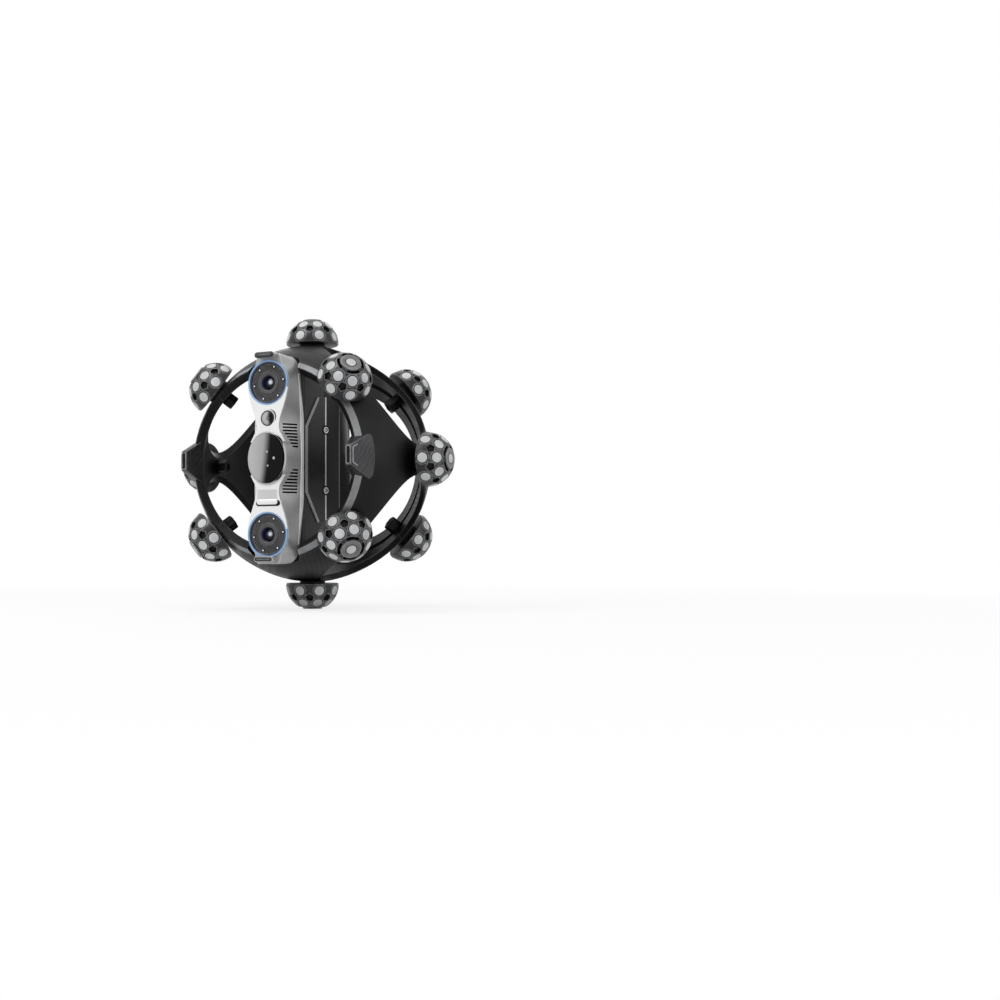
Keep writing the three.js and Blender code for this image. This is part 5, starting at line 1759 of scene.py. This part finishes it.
# %% Hand grip
def seam_form(spots, half=0.18, deep=0.5, proud=0.04):
    """A thin blade set into the grip along a line of (y, z) spots."""
    ways = [Vector(end) - Vector(start) for start, end in zip(spots, spots[1:])]
    sides = [Vector((-way.y, way.x)).normalized() for way in ways]
    loops = []
    for k, spot in enumerate(spots):
        out = (sides[max(k - 1, 0)] + sides[min(k, len(sides) - 1)]).normalized()
        low, high = Vector(spot) - out * deep, Vector(spot) + out * proud
        loops.append([(-half, *low), (half, *low), (half, *high), (-half, *high)])
    return drawn_form(loops)


def shell_seams():
    """The seam of the half shells: over both arms and down the back."""
    arm_end = GRIP_HALF + ARM_RISE + ARM_HEIGHT
    cap_z = GRIP_HALF + CAP_HEIGHT
    over = [(REAR_Y + 1.5, arm_end - 0.1), (grip_y(GRIP_HALF) + GRIP_DEEP * CAP_SHARE, cap_z)]
    over += [(back_of_grip(z), z) for z in (GRIP_HALF, PANEL_TOP + 0.3)]
    down = [(back_of_grip(z), z) for z in (PANEL_LOW - 0.3, BLOCK_TOP + 0.3)]
    under = [(GRIP_BACK + 2, -cap_z - 3.6), (REAR_Y + 1.5, 0.1 - arm_end)]
    return joined([seam_form(spots) for spots in (over, down, under)])


def grip_holes():
    pocket = (7.4, 14.4, 6.4)
    holes = [pill_form([(*pocket, TRIGGER_FRONT - 6), (*pocket, TRIGGER_FRONT + 16)], TRIGGER_Z)]
    bore = [(0, PANEL_Y - 5), (BUTTON + 0.4, PANEL_Y - 5), (BUTTON + 0.4, PANEL_Y + 6), (0, PANEL_Y + 6)]
    holes += [turned_form(bore, 48, BUTTON_Z + k * BUTTON_PITCH) for k in (-1, 0, 1)]
    middle = PIN_Z + COVER_HIGH / 2
    return holes + [box_form((-5, BLOCK_Y - 5, middle - 2), (5, BLOCK_Y + 6, middle + 2))]


def grip_shells():
    made = piece("grip_body", hull_form(grip_oval(-GRIP_HALF) + grip_oval(GRIP_HALF)), [CHARCOAL, BLACK],
                 "charcoal", "left_grip_shell", "right_grip_shell")
    ears = []
    for sign in BOTH:
        near, far = sorted((sign * (COVER_WIDE - 2.1), sign * BLOCK_WIDE))
        ears.append(box_form((near, BLOCK_Y - EAR, PIN_Z - KNUCKLE),
                             (far, PIN_Y + KNUCKLE, PIN_Z + KNUCKLE)))
    panel = box_form((-PANEL_WIDE, GRIP_BACK, PANEL_LOW), (PANEL_WIDE, PANEL_Y, PANEL_TOP))
    block = box_form((-BLOCK_WIDE, GRIP_BACK, PIN_Z - KNUCKLE), (BLOCK_WIDE, BLOCK_Y, BLOCK_TOP))
    added(made, [arm_form(1), arm_form(-1), panel, block] + ears, CHARCOAL)
    cut(made, cutter(grip_holes(), [CHARCOAL, BLACK]))
    piece("grip_seam", shell_seams(), BLACK, "charcoal")
    return rounded(made, 0.6, 3, 40)


print("grip faces", len(grip_shells().data.polygons))

# %% [markdown]
# The pad and the keys are rubber: matt, with a grain that is coarser than that
# of the plastic round them. The keys are paler, so that they can be found.

# %% Rubber finishes
def rubber(name, dark, light):
    return grained(name, shade(dark), shade(light), 0.62, 0.14, mottle=80, grain=1400,
                   grain_depth=0.00012, edge_colour=shade(light + 0.1), Specular_IOR_Level=0.3)


PAD_RUBBER = rubber("pad_rubber", 0.07, 0.12)
KEY_RUBBER = rubber("key_rubber", 0.33, 0.4)
print("rubber finishes ready")

# %% [markdown]
# A rubber pad wraps the front of the column, where the fingers close round it.
# Separate ribs on a plain pad would show seams, so it is drawn as many level
# sections, each a thin crescent, and every few millimetres the sections shrink a
# little, which makes soft ribs to hold on to.

# %% Grip pad
PAD_LOW = -CAGE * 0.354
PAD_TOP = TRIGGER_Z - 14.4 - PAD_THICK
PAD_PITCH = 4.2
PAD_EDGE_Y = GRIP_BACK - 0.25
PAD_ROWS = 120
PAD_STEPS = 48


def pad_arc(z, grow):
    """The part of a level oval that lies in front of the pad's edge."""
    wide, deep = GRIP_WIDE + grow, GRIP_DEEP + grow
    reach = (PAD_EDGE_Y - grip_y(z)) / deep
    start = math.pi - math.asin(max(-1.0, min(1.0, reach)))
    spots = arc(start, 3 * math.pi - 2 * start, PAD_STEPS)
    return [(wide * across, grip_y(z) + deep * along, z) for across, along in spots]


def grip_pad():
    loops = []
    for row in range(PAD_ROWS + 1):
        z = mixed(PAD_LOW, PAD_TOP, row / PAD_ROWS)
        groove = 0.5 * max(0.0, math.cos(math.tau * z / PAD_PITCH)) ** 4
        end = 0.6 if row in (0, PAD_ROWS) else 0.0
        loops.append(pad_arc(z, 2.05 - groove - end) + pad_arc(z, -0.4)[::-1])
    return piece("ribbed_pad", drawn_form(loops), PAD_RUBBER, "rubber", "grip_pad")


grip_pad()
print("grip pad ribs", round((PAD_TOP - PAD_LOW) / PAD_PITCH))

# %% [markdown]
# The trigger is a smooth key with a hollow for the fingertip and three low
# ridges for grip. Its front outline is smaller than its shank, so the sides
# slope. It is drawn from shank to tip, where a bent cube would have no hollow,
# and it slides straight back into its pocket on its own body.

# %% Scan trigger
TRIGGER_WIDE, TRIGGER_TALL = 7.0, 14.0
TRIGGER_SHANK = [(1.0, 12.6, 0.0, 6.0), (1.0, 3.4, 0.0, 6.0), (0.985, 2.5, 0.0, 5.9)]
TRIGGER_TIP = [(0.94, 1.5, 0.1), (0.87, 0.75, 0.5), (0.78, 0.25, 0.9), (0.6, 0.1, 1.15),
               (0.4, 0.05, 1.25), (0.15, 0.0, 1.3)]


def trigger_loop(share, depth, hollow, corner):
    outline = pill(TRIGGER_WIDE * share, TRIGGER_TALL * share, corner, 10, TRIGGER_Z)
    return [(x, TRIGGER_FRONT + depth + hollow * (1 - ((z - TRIGGER_Z) / TRIGGER_TALL) ** 2), z)
            for x, z in outline]


def scan_trigger():
    tip = [(*row, 4.0 * row[0] / 0.7) for row in TRIGGER_TIP]
    key = drawn_form([trigger_loop(*row) for row in TRIGGER_SHANK + tip])
    piece("trigger_key", key, KEY_RUBBER, "rubber", "scan_trigger", body="trigger")
    top = TRIGGER_FRONT + 1.35
    levels = [(3.6, 0.5, 0.5, top + 0.3), (3.6, 0.5, 0.5, top - 0.25), (3.3, 0.25, 0.25, top - 0.45)]
    ridges = joined([pill_form(levels, TRIGGER_Z + rise) for rise in (-3.2, 0.0, 3.2)])
    piece("trigger_ridges", ridges, PAD_RUBBER, "rubber", body="trigger")


scan_trigger()
print("trigger front at", round(TRIGGER_FRONT, 1), "mm")

# %% [markdown]
# Three round keys sit in bores at the back of the grip: plus, power and minus.
# Each is turned with a shallow dish for the thumb. Its sign could be a texture,
# but a thin pale inlay stays crisp, and it rides on the same body, so it travels
# with the key.

# %% Buttons
KEY_FRONT = PANEL_Y - 3.6
KEY_BACK = PANEL_Y + 1.6
SIGN_DEPTHS = (KEY_BACK - 0.9, KEY_BACK - 0.28)
KEY = [(0, KEY_FRONT), (BUTTON - 0.3, KEY_FRONT), (BUTTON, KEY_FRONT + 0.3), (BUTTON, KEY_BACK - 0.7),
       (BUTTON - 0.15, KEY_BACK - 0.3), (BUTTON - 0.5, KEY_BACK - 0.05), (BUTTON - 0.9, KEY_BACK),
       (2.8, KEY_BACK - 0.18), (2.2, KEY_BACK - 0.36), (1.2, KEY_BACK - 0.46), (0, KEY_BACK - 0.5)]


def sign_bar(half_x, low, high, z):
    corners = [(-half_x, low), (half_x, low), (half_x, high), (-half_x, high)]
    return drawn_form([[(x, y, z + rise) for x, rise in corners] for y in SIGN_DEPTHS])


def power_sign(z):
    inner, outer = 1.15, 1.6
    deep, proud = SIGN_DEPTHS
    corners = [(inner, deep), (outer, deep), (outer, proud), (inner, proud)]
    ring = [[(radius * across, y, z + radius * rise) for radius, y in corners]
            for across, rise in arc(math.radians(125), math.radians(290), 24)]
    return [drawn_form(ring), sign_bar(0.22, 0.3, 1.8, z)]


def button(body, z, signs):
    piece(f"{body}_key", turned_form(KEY, 64, z), KEY_RUBBER, "rubber", f"{body}_button", body=body)
    piece(f"{body}_sign", joined(signs), TRIM, "rubber", body=body)


UPPER_Z, LOWER_Z = BUTTON_Z + BUTTON_PITCH, BUTTON_Z - BUTTON_PITCH
button("plus", UPPER_Z, [sign_bar(1.5, -0.24, 0.24, UPPER_Z), sign_bar(0.24, -1.5, 1.5, UPPER_Z)])
button("power", BUTTON_Z, power_sign(BUTTON_Z))
button("minus", LOWER_Z, [sign_bar(1.5, -0.24, 0.24, LOWER_Z)])
print("buttons at", [round(z, 1) for z in (UPPER_Z, BUTTON_Z, LOWER_Z)])

# %% [markdown]
# A small rubber flap covers the charging socket. It swings on a steel pin
# between two ears: a knuckle with a bore goes round the pin, a neck joins it to
# the flap, and a lip at the free end gives the fingernail a hold. The bore is a
# real hole, because the pin shows at its ends.

# %% Socket cover
PIN = 1.1
KNUCKLE_HALF = COVER_WIDE - EAR


def rod_form(radius, half):
    return drawn_form([[(x, PIN_Y + radius * along, PIN_Z + radius * rise) for along, rise in around(40)]
                       for x in (-half, half)])


def socket_cover():
    low, high = PIN_Z + KNUCKLE + 1.31, BLOCK_TOP
    middle, tall = (low + high) / 2, (high - low) / 2
    front, back = PIN_Y - 1.0, PIN_Y + 1.0
    face, rim = (COVER_WIDE - 0.5, tall - 0.5, 1.8), (COVER_WIDE, tall, 2.2)
    flap = pill_form([(*face, front), (*rim, front + 0.4), (*rim, back - 0.4), (*face, back)], middle)
    made = piece("cover_flap", flap, KEY_RUBBER, "rubber", "socket_cover", body="cover")
    neck = box_form((-KNUCKLE_HALF, front, PIN_Z), (KNUCKLE_HALF, back, low + 2))
    added(made, [rod_form(KNUCKLE, KNUCKLE_HALF), neck], KEY_RUBBER)
    cut(made, cutter([rod_form(PIN + 0.3, COVER_WIDE)], [KEY_RUBBER]))
    field = pill_form([(COVER_WIDE - 2.4, tall - 2.4, 1.0, back - 0.2),
                       (COVER_WIDE - 2.6, tall - 2.6, 0.9, back + 0.3)], middle - 0.2)
    lip = pill_form([(4.0, 0.55, 0.5, back - 0.2), (3.8, 0.35, 0.3, back + 0.45)], high - 1.1)
    piece("cover_lip", joined([field, lip]), PAD_RUBBER, "rubber", body="cover")


socket_cover()
print("socket cover is", round(COVER_HIGH, 1), "mm tall")

# %% [markdown]
# The parts inside keep the shapes that the solids give them, because only their
# finish is missing: a green board with copper lines, a black projector, two
# black camera modules, a battery in a plain wrap, and a steel pin.

# %% Finishes for the parts inside
def board_green():
    finish = Finish("board_green", shade(0.1, 0.32, 0.18), 0.4, 0.0, Coat_Weight=0.3)
    lines = finish.node("ShaderNodeTexBrick", {"offset": 0.3}, {
        "Vector": finish.place(), "Scale": 180.0, "Mortar Size": 0.06, "Brick Width": 1.1,
        "Row Height": 0.35, "Color1": (1, 1, 1, 1), "Color2": (0.8, 0.8, 0.8, 1),
        "Mortar": (0, 0, 0, 1)})
    clouds = finish.noise(90, 3)
    green = finish.blend(clouds, shade(0.07, 0.25, 0.14), shade(0.12, 0.36, 0.2))
    return finish.set(Base_Color=finish.blend(lines, shade(0.55, 0.42, 0.2), green),
                      Roughness=0.35 + 0.2 * clouds, Normal=finish.bump(lines, 0.2, 0.00005))


def steel_pin():
    finish = Finish("steel_pin", shade(0.62), 0.3, 0.9)
    scratches = finish.noise(1800, 3)
    return finish.set(Base_Color=finish.blend(scratches, shade(0.52), shade(0.68)),
                      Roughness=0.22 + 0.2 * scratches, Normal=finish.bump(scratches, 0.15, 0.00003))


def dress(finish, *names):
    for name in names:
        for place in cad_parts[name].material_slots:
            place.material = finish.material


MODULE_BLACK = grained("module_black", shade(0.08), shade(0.13), 0.42, Metallic=0.5, mottle=120,
                       edge_colour=shade(0.4))
WRAP_GREY = grained("battery_wrap", shade(0.24, 0.27, 0.33), shade(0.32, 0.36, 0.43), 0.38, mottle=40,
                    grain=900, edge_colour=shade(0.55))
dress(board_green(), "main_board")
dress(MODULE_BLACK, "projector_engine", "upper_camera_module", "lower_camera_module")
dress(WRAP_GREY, "battery")
dress(steel_pin(), "cover_pin")
print("all", len(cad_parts), "nodes have a finish")

# %% [markdown]
# The camera stands where the photograph was taken: a little to the right of the
# front, slightly below the middle, and far enough away for a mild perspective.
# A shift of the lens puts the scanner at the left of the frame, because turning
# the camera would change how the cage is seen.

# %% Camera
AZIMUTH = 29.45
ELEVATION = -3.83
CAMERA_DISTANCE = 1.266


def aimed(name, data, azimuth, elevation, distance):
    """Stands a camera or lamp round the cage, so that it looks at the middle."""
    turn, rise = math.radians(azimuth), math.radians(elevation)
    view = Vector((math.sin(turn) * math.cos(rise), -math.cos(turn) * math.cos(rise), math.sin(rise)))
    made = bpy.data.objects.new(name, data)
    made.location = CENTRE * MM + view * distance
    made.rotation_mode = "QUATERNION"
    made.rotation_quaternion = view.to_track_quat("Z", "Y")
    bpy.context.scene.collection.objects.link(made)
    return made


def add_camera():
    camera = bpy.data.cameras.new("camera")
    camera.lens = 47.47
    camera.sensor_width = 36.0
    camera.shift_x = 0.1875
    camera.shift_y = -0.0364
    camera.clip_start = 0.05
    bpy.context.scene.camera = aimed("camera", camera, AZIMUTH, ELEVATION, CAMERA_DISTANCE)


add_camera()
print("camera", round(CAMERA_DISTANCE, 3), "m from the middle of the cage")

# %% [markdown]
# Soft light comes from large lamps: a key lamp above and to the left, a weaker
# one at the right, one overhead and one behind. Small lamps would throw hard
# shadows through the cage. Together with the pale world they light a surface so
# that its colour shows about as it was written.

# %% Lamps
def lamp(name, azimuth, elevation, distance, size, watts):
    light = bpy.data.lights.new(name, "AREA")
    light.shape = "DISK"
    light.size = size
    light.energy = watts
    aimed(name, light, azimuth, elevation, distance)


lamp("key_lamp", -25, 48, 1.5, 0.9, 10.0)
lamp("side_lamp", 85, 18, 1.6, 1.0, 4.0)
lamp("top_lamp", 30, 82, 1.5, 0.8, 5.0)
lamp("rear_lamp", 200, 35, 1.6, 1.0, 5.0)
print("lamps", len(bpy.data.lights))

# %% [markdown]
# To the camera, and in reflections, the world is white, as in a studio shot on
# white paper. For the light that fills the room it is weaker, so that pale
# surfaces keep their colour. A mask on the kind of ray tells the two apart.

# %% World
def seen_directly(nodes):
    """1 for rays from the camera and in mirrors or glass, 0 for the light that fills the room."""
    rays = [nodes.node("ShaderNodeLightPath", output=f"Is {kind} Ray")
            for kind in ("Camera", "Glossy", "Transmission")]
    return nodes.maths("MAXIMUM", nodes.maths("MAXIMUM", rays[0], rays[1]), rays[2])


def mixed_surface(nodes, factor, plain, direct, output):
    surface = nodes.node("ShaderNodeMixShader", None, {0: factor, 1: plain, 2: direct})
    nodes.fill(nodes.tree.nodes[output].inputs["Surface"], surface)


def add_world():
    world = bpy.data.worlds.new("studio")
    world.use_nodes = True
    nodes = Nodes(world.node_tree)
    background = nodes.tree.nodes["Background"]
    background.inputs["Color"].default_value = WHITE
    background.inputs["Strength"].default_value = 0.42
    white = nodes.node("ShaderNodeBackground", None, {"Color": WHITE})
    mixed_surface(nodes, seen_directly(nodes), Wire(nodes, background.outputs[0]), white, "World Output")
    bpy.context.scene.world = world
    bpy.context.scene.view_settings.view_transform = "Standard"


add_world()
print("world ready")

# %% [markdown]
# The floor is plain and pale. It takes the same white as the world, but near the
# scanner a part of it stays an ordinary matt surface, so it keeps the shadow.
# That part fades out with distance, so that no horizon shows.

# %% Floor
FLOOR_SHARES = (0.8, 1.0)
FLOOR_FADE = (0.25, 1.1)
FLOOR_HALF = 3.0


def add_floor():
    mesh = bpy.data.meshes.new("floor")
    corners = [(-1, -1), (1, -1), (1, 1), (-1, 1)]
    mesh.from_pydata([(x * FLOOR_HALF, y * FLOOR_HALF, 0) for x, y in corners], [], [(0, 1, 2, 3)])
    made = bpy.data.objects.new("floor", mesh)
    made.location.z = solid_box[0][2]
    bpy.context.scene.collection.objects.link(made)
    paper = Finish("paper_floor", shade(0.93), 0.9)
    length = paper.node("ShaderNodeVectorMath", {"operation": "LENGTH"}, {0: paper.place()}, output=1)
    share = seen_directly(paper) * mixed(*FLOOR_SHARES, paper.mask(length, *FLOOR_FADE))
    mixed_surface(paper, share, Wire(paper, paper.shader.outputs[0]), paper.node("ShaderNodeEmission"),
                  "Material Output")
    mesh.materials.append(paper.material)


add_floor()
print("floor at", round(solid_box[0][2], 4), "m")
